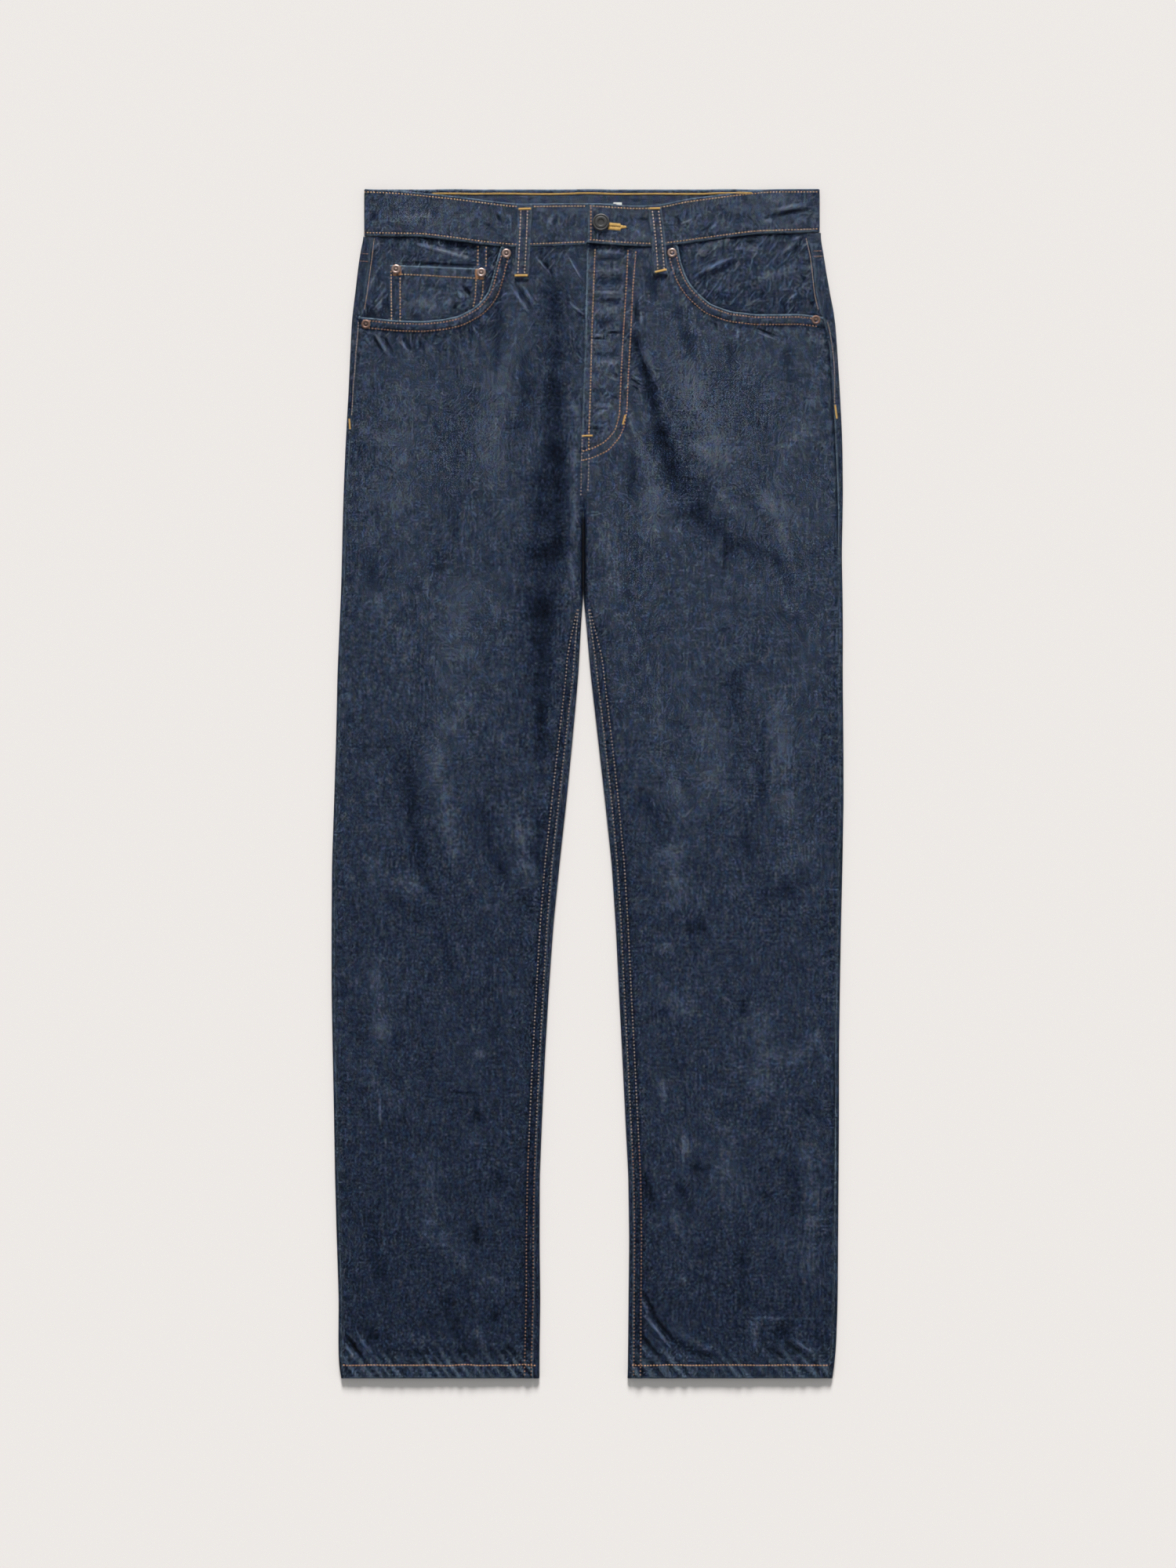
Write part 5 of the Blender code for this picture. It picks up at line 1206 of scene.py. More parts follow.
def makeWaistband():
    radius, top = band["radius"], body["waist"]
    sideLow = band["sideLow"]
    hubs = {side: side * (band["reach"][side] - radius) for side in sideNames}
    turn = np.linspace(0.0, math.pi, 11)[1:-1]
    level = np.ones(len(turn))
    folds = {side: (hubs[side] + side * radius * np.sin(turn)[::side], radius + radius * np.cos(turn)[::side],
                    sideLow[side] * level, top * level, side * turn[::side]) for side in sideNames}
    x = np.linspace(hubs[1], hubs[-1], 131)
    low = back["bandBottom"] + (np.where(x > 0.0, sideLow[1], sideLow[-1]) - back["bandBottom"]) * np.abs(x) / 205.0
    raised = softened(np.nan_to_num(castHeights(treeOf("waistband"), x, 0.0 * x + 525.0, under=True)), 1)
    behind = x, raised, low, top + 0.0 * x, math.pi + 0.0 * x
    parts = [frontBand(1, np.append(np.arange(0.0, hubs[1] - 0.8, 1.35), hubs[1])), folds[1], behind, folds[-1],
             frontBand(-1, np.append(np.arange(hubs[-1], band["underlap"] - 0.6, 1.35), band["underlap"]))]
    x, z, bottom, top, angle = [np.concatenate(columns) for columns in zip(*parts)]
    along = lineLength(joined(x, z))
    steps = band["edgeRows"]
    middle = np.linspace(0.0, 1.0, 17)[1:-1, None]
    lowPart = bottom + steps[:, None]
    highPart = top - steps[::-1, None]
    y = np.concatenate([lowPart, lowPart[-1] + (highPart[0] - lowPart[-1]) * middle, highPart])
    x, z, angle = [np.broadcast_to(values, y.shape) for values in (x, z, angle)]
    fromLow, fromTop = y - bottom, top - y
    onFront = (np.abs(np.sin(angle)) < 0.01) & (np.cos(angle) > 0.0)
    buttonEnd = onFront & (np.arange(y.shape[1]) > y.shape[1] // 2)
    creaseHeight, shade = creased(x, y, band["creases"])
    ends = np.where(onFront & ~buttonEnd, np.abs(x), np.where(buttonEnd, np.abs(band["underlap"] - x), 99.0))
    out = np.where(onFront, creaseHeight + 0.2 * swell(x, y, 47, 34.0), 0.0)
    out += groove(fromLow - band["lowRow"], 0.2) + groove(fromTop - band["topRow"], 0.2)
    lowCells = ripple(along + 0.5 * fromLow, 57, 6.0, 11.0) * bell(fromLow, 5.5)
    topCells = ripple(along - 0.5 * fromTop, 58, 6.0, 12.0) * bell(fromTop, 5.5)
    rim = bell(fromLow - 1.3, 0.9) * 0.12 + 0.26 * lowCells + 0.24 * topCells
    out += np.where(onFront, rim, 0.0) + edgeDrop(fromLow, 1.0) + edgeDrop(fromTop, 1.0) + edgeDrop(ends, 1.0)
    out = np.where(onFront & ~buttonEnd, out + groove(x - 2.6, 0.2), out)
    out = np.where(buttonEnd & (x > -3.0), np.minimum(out, 0.0), out)
    out = np.where(np.cos(angle) < -0.2, np.minimum(out, 0.0), out)
    points = joined(x + np.sin(angle) * out, y, z + np.cos(angle) * out)
    # painted highlight and shade on the creases and puckers, painted shade in the stitched grooves
    fade = 0.4 + np.where(onFront, 0.95 * shade, 0.0) + 0.12 * swell(x, y, 49, 50.0) + 0.1 * swell(x, y, 48, 14.0)
    fade += np.where(onFront, 0.26 * lowCells + 0.26 * topCells, 0.0)
    fade -= 0.5 * bell(fromLow - band["lowRow"], 1.0) + 0.45 * bell(fromTop - band["topRow"], 1.0)
    wear = most(0.9 * bell(fromLow, 1.1), 0.7 * bell(fromTop, 1.0), (onFront & ~buttonEnd) * 0.8 * bell(x, 1.2))
    cloth("waistband_cloth", points[:, ::-1], joined(x, y)[:, ::-1], band["wall"], False,
          {"fade": fade[:, ::-1], "wear": wear[:, ::-1], "crumple": 0.55}, folded["band"][:1] * 2)


loops = {        # top and bottom end of each, the columns of its two stitched rows, and its twist
    "belt_loop_front_right": ((-57.8, 531.2), (-61.1, 462.6), (-3.6, 2.6), 7),
    "belt_loop_front_left": ((60.5, 530.2), (66.6, 466.6), (-2.3, 3.5), 11),
    "belt_loop_back_right": ((-124.0, 545.0), (-124.0, 477.0), (-3.2, 3.2), 13),
    "belt_loop_back_centre": ((2.0, 545.0), (2.0, 477.0), (-3.2, 3.2), 17),
    "belt_loop_back_left": ((128.0, 545.0), (128.0, 477.0), (-3.2, 3.2), 19),
}
loopLength = 68.0


def loopAxis(name, t):
    (x0, y0), (x1, y1) = loops[name][:2]
    bow = 0.7 if name == "belt_loop_front_left" else 0.3 if "front" in name else 0.0
    return x0 + (x1 - x0) * t + bow * np.sin(math.pi * t), y0 + (y1 - y0) * t


def makeLoop(name):
    _, _, rows, seed = loops[name]
    onFront = "front" in name
    t = np.concatenate([[0.0, 0.008, 0.02, 0.04], np.linspace(0.06, 0.94, 50), [0.96, 0.98, 0.992, 1.0]])[:, None]
    across = np.array([-6.5, -6.1, -5.4, -4.4, -3.2, -1.8, -0.6, 0.6, 1.8, 3.2, 4.4, 5.4, 6.1, 6.5])
    centreX, y = loopAxis(name, t)
    x = centreX + across * (1.0 + 0.02 * ripple(y, seed, 14.0, 40.0))
    y = y + 0.0 * x
    edge = across[-1] - np.abs(across)
    fromTop, fromEnd = t * loopLength, (1.0 - t) * loopLength
    rims = bell(np.abs(across) - 4.6, 1.4)
    out = 0.3 * rims + 0.2 * ripple(y, seed + 1, 5.0, 12.0)
    for row in rows:
        out += groove(across - row, 0.2)
    out += 0.9 * edgeDrop(edge, 0.9) + 0.8 * edgeDrop(fromTop, 0.9) + 0.8 * edgeDrop(fromEnd, 0.9)
    z = draped(treeOf(name), x, y, 3, 0) + out if onFront else -np.minimum(out, 0.0)
    tacks = bell(fromTop - 4.0, 3.0) + bell(fromEnd - 3.6, 3.0)
    # painted highlight on the raised rims, painted shade at the bar tacks and in the stitched grooves
    fade = 0.5 + 0.3 * rims - 0.3 * tacks + 0.16 * ripple(y, seed + 2, 7.0, 20.0)
    for row in rows:
        fade -= 0.45 * bell(across - row, 0.8)
    points = joined(x, y, z)
    cloth(name + "_cloth", points, points[..., :2], 1.15, onFront, {"fade": fade, "wear": 0.6 * bell(edge, 0.8)},
          [denimOut, denimOut])


makeWaistband()
for name in loops:
    makeLoop(name)
print("waistband and loops laid")


# Metal and label

def turned(name, profile, steps, grime, made):
    # profile: radius and height from the middle of the underside out and back to the middle of the top
    piece = newPiece(name, bpy.ops.mesh.primitive_circle_add, vertices=steps, radius=profile[0][0] * mm,
                     fill_type="TRIFAN")
    bpy.ops.object.mode_set(mode="EDIT")
    bpy.ops.mesh.select_all(action="SELECT")
    bpy.ops.transform.translate(value=(0.0, 0.0, profile[0][1] * mm))
    bpy.ops.mesh.region_to_loop()
    for (r0, z0), (r1, z1) in zip(profile[:-1], profile[1:]):
        bpy.ops.mesh.extrude_edges_move(TRANSFORM_OT_translate={"value": (0.0, 0.0, (z1 - z0) * mm)})
        bpy.ops.transform.resize(value=(r1 / r0, r1 / r0, 1.0), center_override=(0.0, 0.0, 0.0))
    bpy.ops.mesh.merge(type="CENTER")
    bpy.ops.mesh.select_all(action="SELECT")
    bpy.ops.mesh.normals_make_consistent(inside=False)
    bpy.ops.object.mode_set(mode="OBJECT")
    reach = np.hypot(*meshPoints(piece.data)[:, :2].T) / mm
    addMark(piece.data, "grime", np.interp(reach, *zip(*grime)))
    bpy.ops.object.shade_smooth_by_angle(angle=math.radians(42))
    piece.data.materials.append(made)
    return piece


def metalFinish(name, colour, dark, roughness, spots):
    made, wire, shader = newFinish(name)
    place = wire.place()
    mottle = place.noise(700.0, 4.0, 0.65, "3D")
    fine = place.noise(2600.0, 2.0, 0.6, "3D")
    grime = wire.mark("grime")
    stain = (grime + (mottle - 0.5) * spots).clamped()
    tint = mixed(wire, stain, colour, dark)
    bump = wire.bump(0.35, 0.00008, mottle + fine * 0.4)
    polish = (roughness + (mottle - 0.5) * 0.5 + stain * 0.3).clamped(0.15, 1.0)
    plug(wire, shader, Base_Color=tint, Roughness=polish, Metallic=(1.0 - stain * 0.8).clamped(), Normal=bump)
    return made


gunmetal = metalFinish("gunmetal", (0.105, 0.102, 0.104), (0.018, 0.018, 0.020), 0.45, 0.8)
copper = metalFinish("rivet_copper", (0.47, 0.34, 0.295), (0.050, 0.032, 0.028), 0.38, 1.1)
agedCopper = metalFinish("rivet_copper_aged", (0.25, 0.155, 0.125), (0.035, 0.024, 0.022), 0.5, 1.2)


def nodeFrame(name):        # the lowest point of a turned node's middle line, and the way it faces
    places = meshPoints(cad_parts[name].data) / mm
    centre = places.mean(0)
    _, _, axes = np.linalg.svd(places - centre)
    up = axes[2] * np.sign(axes[2][2])
    return centre + up * ((places - centre) @ up).min(), up


def stood(piece, base, up):        # sets a piece made round the world's Z on its base, facing up
    turn = Vector((0.0, 0.0, 1.0)).rotation_difference(Vector(up.tolist()))
    matrix = turn.to_matrix().to_4x4()
    matrix.translation = Vector((base * mm).tolist())
    piece.data.transform(matrix)
    piece.data.update()


rivetProfile = [(0.5, 0.0), (4.25, 0.0), (4.4, 0.16), (4.38, 0.34), (4.2, 0.56), (3.9, 0.82), (3.5, 1.02),
                (3.05, 1.1), (2.6, 1.02), (2.2, 0.8), (1.85, 0.62), (1.55, 0.62), (1.3, 0.8), (1.05, 1.12),
                (0.75, 1.32), (0.4, 1.4), (0.15, 1.41)]
rivetGrime = [(0.0, 0.35), (0.6, 0.25), (1.1, 0.75), (1.6, 0.95), (2.0, 0.7), (2.5, 0.15), (3.4, 0.0), (3.9, 0.2),
              (4.4, 0.75)]
rivets = {
    "rivet_coin_outer": copper, "rivet_coin_inner": copper, "rivet_mouth_right_waist": copper,
    "rivet_mouth_right_side": agedCopper, "rivet_mouth_left_waist": copper, "rivet_mouth_left_side": agedCopper,
}
for name, made in rivets.items():
    stood(turned(name + "_cap", rivetProfile, 36, rivetGrime, made), *nodeFrame(name))

buttonProfile = [(0.6, -1.2), (2.8, -1.2), (2.9, 0.0), (6.4, 0.0), (7.1, 0.12), (7.6, 0.42), (7.86, 0.85),
                 (7.9, 1.3), (7.8, 1.75), (7.5, 2.12), (7.1, 2.34), (6.7, 2.38), (6.35, 2.28), (6.1, 2.08),
                 (5.85, 2.02), (5.6, 2.1), (5.35, 2.34), (5.05, 2.46), (4.6, 2.5), (3.9, 2.5), (3.4, 2.46),
                 (3.1, 2.34), (2.9, 2.1), (2.6, 1.96), (2.0, 1.9), (1.0, 1.88), (0.3, 1.88)]
buttonGrime = [(0.0, 0.55), (2.4, 0.6), (2.9, 0.85), (3.3, 0.25), (4.2, 0.3), (5.2, 0.2), (5.6, 0.75), (6.0, 0.95),
               (6.3, 0.6), (6.8, 0.1), (7.5, 0.1), (7.9, 0.5)]
buttonTop = (meshPoints(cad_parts["button"].data) / mm)[:, 2].max()
stood(turned("button_cap", buttonProfile, 72, buttonGrime, gunmetal), np.array([11.8, 514.1, buttonTop - 2.5]),
      np.array([0.0, 0.0, 1.0]))


def labelFinish():
    made, wire, shader = newFinish("label_white")
    place = wire.place()
    rib = place.scaled(1.0, 0.15).noise(5200.0, 1.0, 0.5)
    tint = mixed(wire, rib, (0.86, 0.85, 0.82), (0.74, 0.73, 0.70))
    plug(wire, shader, Base_Color=tint, Normal=wire.bump(0.3, 0.00008, rib), Roughness=0.6, Sheen_Weight=0.2)
    return made


def makeLabel():
    u, v = np.meshgrid(np.linspace(0.0, 1.0, 15), np.linspace(0.0, 1.0, 23))
    x, y = 23.2 + 7.8 * u, 520.0 + 13.6 * v
    z = 2.98 + 0.12 * np.sin(math.pi * u) * np.sin(2.0 * math.pi * v)
    points = joined(x, y, z)
    cloth("inner_label_cloth", points, points[..., :2], 0.4, True, {}, [labelFinish()] * 2, 0.12)


makeLabel()
print("button, rivets and label made")


# Stitching

def threadFinish(name, colour, dark):
    made, wire, shader = newFinish(name)
    tone = wire.mark("tone")
    place = wire.place()
    fuzz = place.noise(5200.0, 2.0, 0.6, "3D")
    colour = mixed(wire, (tone + (fuzz - 0.5) * 0.7).clamped(), dark, colour)
    plug(wire, shader, Base_Color=colour, Roughness=0.62, Sheen_Weight=0.25, Specular_IOR_Level=0.4)
    return made


threads = {
    "tan": threadFinish("thread_tan", (0.700, 0.430, 0.220), (0.300, 0.140, 0.065)),
    "rust": threadFinish("thread_rust", (0.520, 0.270, 0.160), (0.190, 0.085, 0.050)),
    "brick": threadFinish("thread_brick", (0.380, 0.190, 0.110), (0.130, 0.060, 0.038)),
    "copper": threadFinish("thread_copper", (0.640, 0.330, 0.160), (0.260, 0.115, 0.055)),
    "gold": threadFinish("thread_gold", (0.720, 0.460, 0.130), (0.400, 0.210, 0.050)),
    "beige": threadFinish("thread_beige", (0.500, 0.380, 0.310), (0.130, 0.072, 0.055)),
    "pale": threadFinish("thread_pale", (0.760, 0.560, 0.420), (0.400, 0.250, 0.160)),
}


def stitchForm():        # one stitch along X, from -1 to 1 each way
    form = newPiece("form", bpy.ops.mesh.primitive_uv_sphere_add, segments=6, ring_count=4, radius=1.0)
    places = meshPoints(form.data)[:, [2, 0, 1]]
    girth = np.hypot(places[:, 1], places[:, 2])
    places[:, 1:] *= np.where(girth > 0.01, (girth ** 0.35) / np.maximum(girth, 0.01), 1.0)[:, None]
    faces = [list(face.vertices) for face in form.data.polygons]
    bpy.data.objects.remove(form)
    return places, faces


stitchPoints, stitchFaces = stitchForm()
stitchPieces = []
visible = {}


def landing(carriers, x, y, under):        # the outermost point of the carriers there, and the way it faces
    best = None
    for name in carriers:
        if name not in visible:
            visible[name] = visibleTree(name)
        start, towards = (-0.5, Vector((0, 0, 1))) if under else (0.5, Vector((0, 0, -1)))
        place, normal, _, _ = visible[name].ray_cast(Vector((x * mm, y * mm, start)), towards)
        if place is not None and (best is None or (place.z < best[0].z) == under):
            best = (place, normal)
    if best is None:
        return None
    return np.array(best[0]) / mm, np.array(best[1])


def threadForm(place, normal, angle, size):        # one thread that lies at an angle on the cloth
    run = np.array([math.cos(angle), math.sin(angle), 0.0])
    run -= normal * run.dot(normal)
    run /= np.linalg.norm(run)
    axes = np.stack([run, np.cross(normal, run), normal])
    return place + stitchPoints @ (axes * np.array(size)[:, None] / 2.0)


def sewn(name, rows, carriers, thread, size=(1.5, 1.2, 1.0), pitch=2.8, under=False, proud=0.1, lean=0.0):
    # rows: lines to sew along; carriers: what they lie on; size: one stitch's length, width and height
    points, tones = [], []
    proud = -0.14 if under else proud
    for line in rows:
        line = np.array(line, float)
        length = lineLength(line)[-1]
        count = max(1, int((length - 0.3 * pitch) / pitch))
        spots = (np.arange(count) + 0.5) * length / count + draws.normal(0.0, 0.07, count)
        for (x0, y0), (x1, y1) in zip(onLine(line, spots - 0.8), onLine(line, spots + 0.8)):
            found = landing(carriers, (x0 + x1) / 2.0, (y0 + y1) / 2.0, under)
            if found is None:
                continue
            place, normal = found
            angle = math.atan2(y1 - y0, x1 - x0) + draws.normal(lean, 0.07)
            own = np.array(size) * (1.0 + draws.normal(0.0, 0.05, 3))
            points.append(threadForm(place + normal * proud, normal, angle, own))
            tones.append(draws.uniform(0.35, 1.0))
    threadPiece(name, points, tones, thread)


def sewnUnder(name, rows, carriers, thread):
    sewn(name, rows, carriers, thread, pitch=3.2, under=True)


def threadPiece(name, points, tones, thread):
    count = len(stitchPoints)
    mesh = bpy.data.meshes.new(name)
    faces = [[k * count + i for i in face] for k in range(len(points)) for face in stitchFaces]
    mesh.from_pydata((np.concatenate(points) * mm).tolist(), [], faces)
    addMark(mesh, "tone", np.repeat(tones, count))
    mesh.shade_smooth()
    mesh.materials.append(threads[thread])
    piece = bpy.data.objects.new(name, mesh)
    bpy.context.scene.collection.objects.link(piece)
    stitchPieces.append(piece)


def tacked(name, tacks, carriers, under=False, thread="gold"):
    # tacks: middle x and y, length, width, and the angle of the bar in degrees
    points, tones = [], []
    for x, y, length, width, angle in tacks:
        angle = math.radians(angle)
        bar = np.array([math.cos(angle), math.sin(angle), 0.0])
        count = int(length / 0.46)
        found = [landing(carriers, x + bar[0] * s, y + bar[1] * s, under) for s in (-0.4 * length, 0.0, 0.4 * length)]
        found = [spot for spot in found if spot is not None]
        if not found:
            continue
        normal = np.mean([facing for _, facing in found], axis=0)
        normal /= np.linalg.norm(normal)
        middle = np.array([x, y, np.mean([place[2] for place, _ in found])]) + normal * (-0.1 if under else 0.28)
        for k in range(count):
            offset = bar * ((k + 0.5) / count * length - length / 2.0)
            offset[2] = -offset.dot(normal) / normal[2]
            turn = angle + math.pi / 2 + 0.16 * (-1) ** k + draws.normal(0.0, 0.05)
            points.append(threadForm(middle + offset, normal, turn, (width * draws.uniform(0.88, 1.1), 0.5, 0.62)))
            tones.append(draws.uniform(0.4, 1.0))
        points.append(threadForm(middle, normal, angle, (length, width * 0.62, 0.72)))
        tones.append(0.3)
    threadPiece(name, points, tones, thread)


bandCloth = ["waistband_cloth"]
frontLeft, frontRight = ["front_panel_left"], ["front_panel_right"]
bothFronts, bothBacks = frontLeft + frontRight, ["back_panel_left", "back_panel_right"]


def bandLine(line, offset, low, high):
    x = np.arange(low, high, 2.0)
    return joined(x, lineY(line, x) + offset)


sewn("stitch_band_top", [bandLine(bandTops[-1], -band["topRow"], -206.0, -1.5),
                         bandLine(bandTops[1], -band["topRow"], 1.0, 211.5)], bandCloth, "tan")
sewn("stitch_band_low", [bandLine(bandBottoms[-1], band["lowRow"], -206.5, -1.5),
                         bandLine(bandBottoms[1], band["lowRow"], 1.0, 212.5)], bandCloth, "tan")
sewn("stitch_band_end", [[(2.6, 528.5), (2.6, 498.8)]], bandCloth, "copper")
sewnUnder("stitch_band_back", [[(-202.0, 542.9), (209.0, 542.9)], [(-202.0, 506.2), (0.0, 508.3), (209.0, 509.0)]],
          bandCloth, "tan")
chainX = np.linspace(-143.0, 150.0, 60)
chainY = 541.6 + 0.3 * ripple(chainX, 3, 60.0, 160.0)
sewn("stitch_band_chain", [joined(chainX, chainY + offset) for offset in (0.42, -0.42)], bandCloth,
     "gold", size=(2.9, 0.62, 0.7), pitch=2.0, proud=0.25, lean=0.16)
for side, cloths in ((-1, frontRight), (1, frontLeft)):
    sewn("stitch_mouth_" + sideNames[side],
         [offsetLine(mouths[side], side * row)[5:-4] for row in front["mouthStitching"]], cloths, "rust")
sewn("stitch_fly", [flyShape["edgeRow"]], frontLeft, "tan")
sewn("stitch_fly_shape", [flyShape["innerJ"], flyShape["outerJ"]], bothFronts, "copper")
sewn("stitch_rise", [flyShape["riseRight"], flyShape["riseLeft"]], bothFronts, "beige", size=(1.35, 1.1, 0.9),
     pitch=3.0)
sideRows = {
    -1: [(-210.6, 424.0), (-211.4, 411.0), (-212.0, 404.0), (-213.0, 396.0), (-213.9, 380.0), (-215.3, 366.0),
         (-216.0, 350.0), (-216.9, 338.0)],
    1: [(219.6, 424.0), (221.6, 416.2), (223.6, 403.9), (225.2, 392.0), (226.0, 380.9), (226.3, 366.0),
        (226.2, 349.0)],
}


def sewLeg(side):
    name = sideNames[side]
    frontCloth, backCloth = ["front_panel_" + name], ["back_panel_" + name]
    for part, thread, top, foot in (("upper", "beige", 161.0, -331.0), ("lower", "brick", -331.0, -541.0)):
        y = np.arange(top, foot - 4.0, -4.0)
        edge = outlineAt(side, "inner", y) + side * outlineAt(side, "inseamGap", y)
        rows = [joined(edge + side * row * inseamSpread(y), y) for row in front["inseamStitching"]]
        sewn("stitch_inseam_" + part + "_" + name, rows, frontCloth, thread, size=(1.35, 1.1, 0.9), pitch=3.2)
    hemY = body["hemStitch"]
    inner, outer = outlineAt(side, "inner", hemY) + side * 3.0, outlineAt(side, "outer", hemY) - side * 3.0
    x = np.linspace(inner, outer, 80)
    sewn("stitch_hem_" + name, [joined(x, hemY + 0.35 * ripple(x, 37 + side, 20.0, 60.0))],
         frontCloth + backCloth, "copper", size=(1.75, 1.15, 1.0), pitch=2.75)
    sewnUnder("stitch_hem_back_" + name, [[(inner, hemY), (outer, hemY)]], backCloth, "copper")
    sewn("stitch_seam_" + name, [smoothLine(sideRows[side], passes=4)], backCloth, "beige", size=(1.45, 0.95, 0.6),
         pitch=2.4)
    y = np.arange(501.0, 432.0, -3.0)
    sewn("stitch_side_" + name, [joined(seamX(side, y) - side * 2.6, y)],
         ["pocket_facing_" + name + "_cloth"], "pale", size=(1.7, 0.55, 0.45), pitch=2.3)
    yokeEnds = [(seatX(back["yokeCentre"]) + side * 8.0, back["yokeCentre"]),
                (outlineAt(side, "outer", 486.0) - side * 2.0, back["yokeSide"])]
    sewnUnder("stitch_yoke_" + name, [[(x, y + row) for x, y in yokeEnds] for row in back["seamRows"]],
              ["back_yoke_" + name], "rust")


def sewBackPocket(side):
    name, carriers = sideNames[side], ["back_pocket_" + sideNames[side] + "_cloth"]
    (leftTop, leftLow), (rightTop, rightLow) = backPocket["left"], backPocket["right"]
    lowLeft, point, lowRight = backPocket["low"]
    middle, level, hem = backPocket["middle"][side], backPocket["level"], backPocket["hem"]
    rows = []
    for row in backPocket["stitching"]:
        inset = np.array([(leftTop + row, -hem), (leftLow + row, lowLeft + 0.8 * row), (0.0, point + 1.1 * row),
                          (rightLow - row, lowRight + 0.8 * row), (rightTop - row, -hem)])
        rows.append(smoothLine(inset * [-side, 1.0] + [middle, level], passes=2))
    rows.append([(middle + side * 73.0, level - 8.7), (middle - side * 73.0, level - 13.7)])
    sewnUnder("stitch_back_pocket_" + name, rows, carriers, "rust")
    tacked("tack_back_pocket_" + name, [(middle + side * 71.0, level - 5.0, 8.0, 1.8, 90.0),
                                        (middle - side * 71.0, level - 9.5, 8.0, 1.8, 90.0)], carriers, under=True)


for side in sideNames:
    sewLeg(side)
    if side < 0:
        y = np.linspace(500.0, 262.0, 60)
        sewnUnder("stitch_seat", [joined(seatX(y) - row, y) for row in back["seamRows"]],
                  ["back_yoke_right", "back_panel_right"], "rust")
    sewBackPocket(side)
sewn("stitch_yoke_ends", [[(-210.0, 486.7), (-201.2, 486.2)], [(-210.0, 479.8), (-201.6, 479.2)],
                          [(206.6, 488.9), (217.0, 489.2)], [(206.9, 483.8), (217.4, 484.2)]],
     ["back_yoke_left", "back_yoke_right"] + bothBacks, "rust", size=(1.9, 0.6, 0.5), pitch=2.4)
coinCloth = ["coin_pocket_cloth"]
sewn("stitch_coin_pocket", [[(-172.0, 467.4), (-103.0, 463.6)], [(-180.6, 471.0), (-180.2, 425.0)],
                            [(-172.3, 465.0), (-172.2, 423.5)], [(-96.2, 464.6), (-96.6, 450.0), (-99.0, 441.0)],
                            [(-102.6, 463.0), (-103.4, 446.0), (-105.4, 437.0)]], coinCloth, "tan")
sewn("stitch_pocket_bag", [[(-100.8, 494.4), (-101.2, 474.8)], [(-93.4, 493.6), (-93.6, 473.6)]],
     ["pocket_facing_right_cloth"], "tan")
for name, (_, _, rows, _) in loops.items():
    x, y = loopAxis(name, np.linspace(0.07, 0.93, 30) if "front" in name else np.linspace(0.08, 0.92, 30))
    sewn("stitch_" + name, [joined(x + row, y) for row in rows], [name + "_cloth"], "pale", pitch=3.0,
         under="back" in name)
tacked("tack_loops", [(-58.0, 527.0, 11.6, 2.3, 2.0), (-61.2, 465.9, 12.0, 2.6, 1.0), (60.6, 527.2, 11.2, 2.2, 0.0),
                      (66.7, 470.2, 11.0, 2.4, 14.0)], ["belt_loop_front_right_cloth", "belt_loop_front_left_cloth"])
tacked("tack_back_loops", [(x, y, 11.4, 2.2, 0.0) for x in (-124.0, 2.0, 128.0) for y in (541.8, 480.4)],
       ["belt_loop_back_" + place + "_cloth" for place in ("right", "centre", "left")], under=True)
tacked("tack_coin_corners", [(-176.6, 471.0, 9.6, 4.6, 84.0), (-172.9, 470.8, 8.6, 4.2, 96.0),
                             (-101.6, 467.4, 9.0, 4.4, 92.0), (-97.4, 467.2, 9.4, 4.4, 86.0)],
       coinCloth, thread="copper")
tacked("tack_fly", [(32.9, 334.0, 9.0, 1.7, 76.0), (-0.7, 319.2, 9.8, 2.0, 2.0)], bothFronts)
tacked("tack_sides", [(-218.6, 330.2, 9.6, 1.9, 94.0), (227.4, 341.4, 12.6, 2.0, 97.0)], bothFronts + bothBacks)


def makeButtonhole():        # a keyhole worked over the edge: short threads side by side round the slit
    tacks = []
    for k in range(27):
        for way in (-1, 1):
            angle = 90.0 + way * draws.normal(4.0, 4.0)
            tacks.append((18.7 + 0.42 * k, 510.9 - 0.03 * k + way * 1.75, 3.5, angle))
    for k in range(15):
        tacks.append((29.8 + 0.36 * k, 510.3, 3.9 * (1.0 - 0.03 * k), 90.0 + draws.normal(0.0, 8.0)))
    points, tones = [], []
    up = np.array([0.0, 0.0, 1.0])
    for x, y, length, angle in tacks:
        place = landing(bandCloth, x, y, False)[0] + 0.2 * up
        size = length * draws.uniform(0.92, 1.08), 0.52, 0.75
        points.append(threadForm(place, up, math.radians(angle), size))
        tones.append(draws.uniform(0.35, 1.0))
    threadPiece("tack_buttonhole", points, tones, "gold")


makeButtonhole()
print("sewn")


# What stands for what

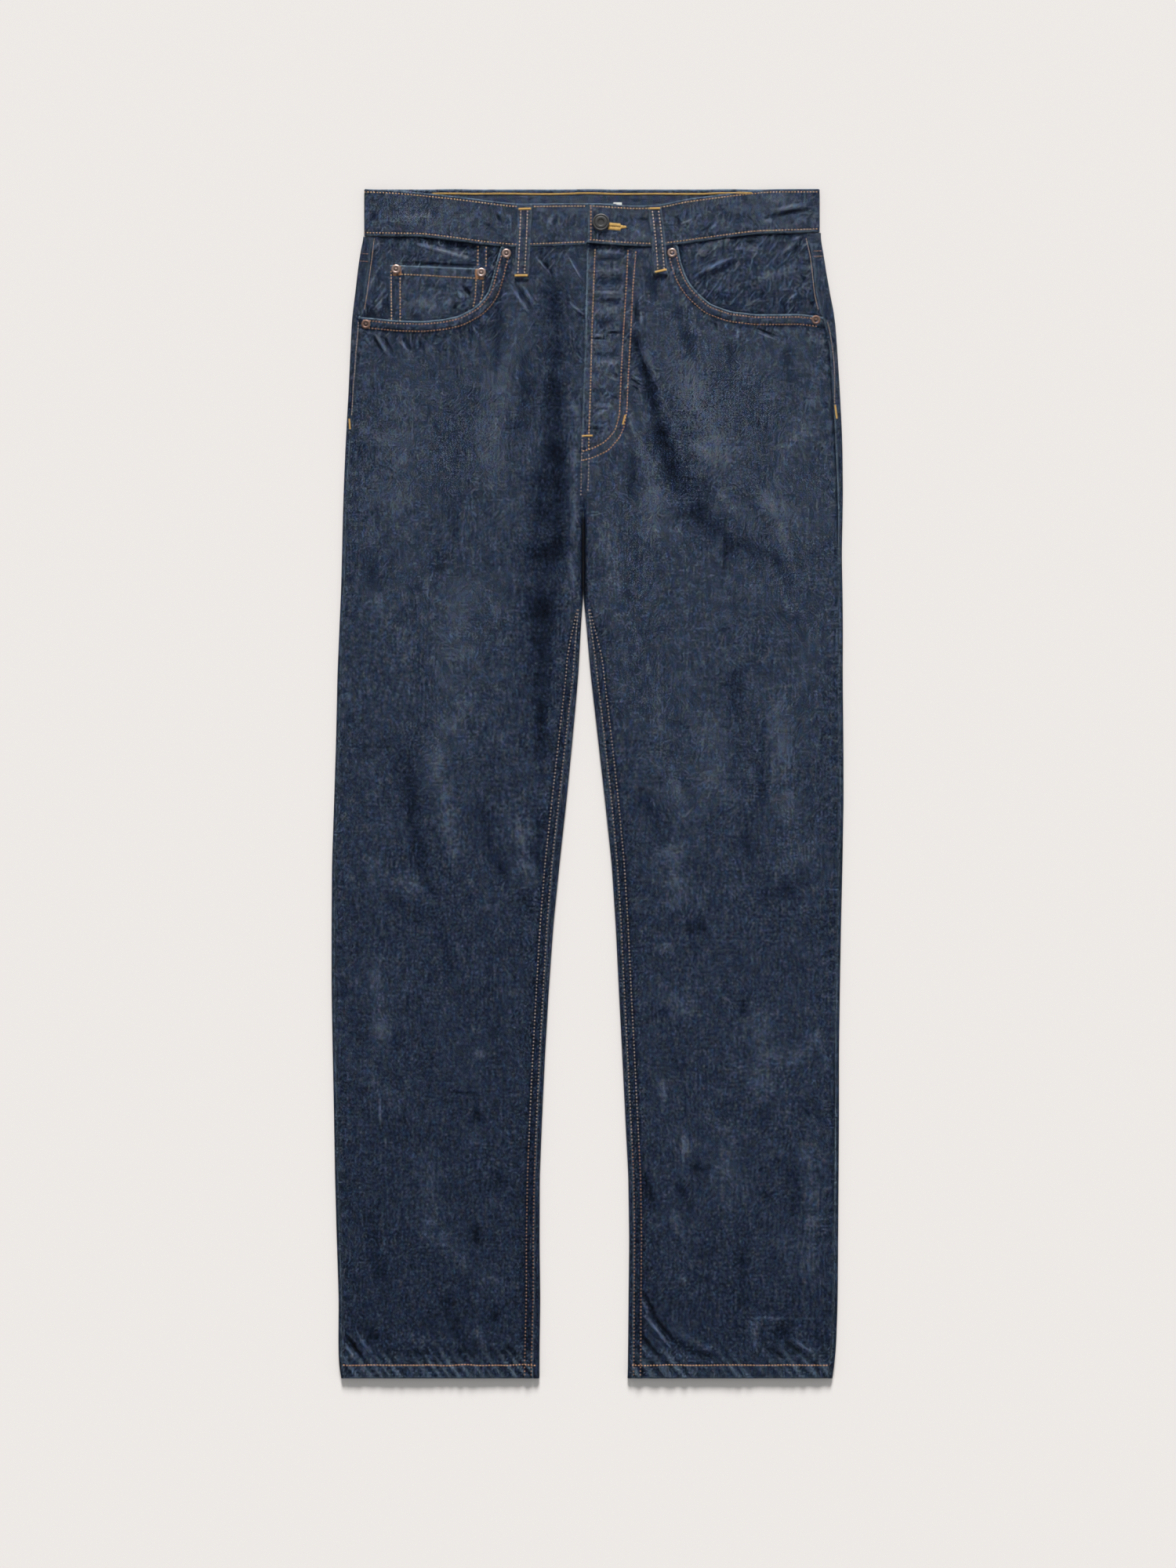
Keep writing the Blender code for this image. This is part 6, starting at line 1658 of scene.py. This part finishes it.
cuts = [        # piece, node, and the cut's width, length and area where it shows, in metres
    ("back_panel_left", "back_left", 0.252, 1.06, 0.24), ("back_panel_right", "back_right", 0.252, 1.06, 0.24),
    ("back_yoke_left", "yoke_left", 0.232, 0.072, 0.0125), ("back_yoke_right", "yoke_right", 0.232, 0.072, 0.0125),
    ("pocket_facing_left_cloth", "pocket_facing_left", 0.13, 0.086, 0.0085),
    ("pocket_facing_right_cloth", "pocket_facing_right", 0.13, 0.086, 0.0085),
    ("coin_pocket_cloth", "coin_pocket", 0.09, 0.058, 0.0044),
    ("front_panel_left", "front_left", 0.236, 1.05, 0.213), ("front_panel_right", "front_right", 0.236, 1.05, 0.213),
    ("back_pocket_left_cloth", "back_pocket_left", 0.15, 0.16, 0.0205),
    ("back_pocket_right_cloth", "back_pocket_right", 0.15, 0.16, 0.0205),
    ("waistband_cloth", "waistband", 0.872, 0.043, 0.0345),
    ("inner_label_cloth", "inner_label", 0.010, 0.0136, 0.000107),
]
cuts += [(name + "_cloth", name, 0.013, 0.069, 0.00088) for name in loops]
for name, node, width, length, area in cuts:
    piece = bpy.data.objects[name]
    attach(piece, "root")
    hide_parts(node)
    "label_cloth" if "label" in name else "denim"
for name in list(rivets) + ["button"]:
    piece = bpy.data.objects[name + "_cap"]
    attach(piece, "root")
    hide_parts(name)
    "button_metal" if name == "button" else "rivet_metal"
for piece in stitchPieces:
    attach(piece, "root")


# Surface, light and camera

bpy.ops.object.select_all(action="DESELECT")
bpy.ops.mesh.primitive_plane_add(size=12.0)
surface = bpy.context.object
surface.name = "surface"
made, wire, shader = newFinish("surface")
plug(wire, shader, Base_Color=(0.869, 0.827, 0.795, 1.0), Roughness=0.9, Specular_IOR_Level=0.2)
surface.data.materials.append(made)

sun = bpy.data.lights.new("sun", "SUN")
sun.energy = 4.5
sun.angle = math.radians(17)
sunObject = bpy.data.objects.new("sun", sun)
sunObject.rotation_euler = (math.radians(-64), 0.0, 0.0)
bpy.context.scene.collection.objects.link(sunObject)
world = bpy.data.worlds.new("world")
world.use_nodes = True
sky = world.node_tree.nodes["Background"]
sky.inputs["Color"].default_value = (0.96, 0.98, 1.0, 1.0)
sky.inputs["Strength"].default_value = 0.365
bpy.context.scene.world = world
bpy.context.scene.view_settings.view_transform = "Standard"

camera = bpy.data.cameras.new("camera")
camera.lens = 75.0
camera.sensor_width = 36.0
cameraObject = bpy.data.objects.new("camera", camera)
cameraObject.location = (0.0, 0.0, 3.0)
bpy.context.scene.collection.objects.link(cameraObject)
bpy.context.scene.camera = cameraObject
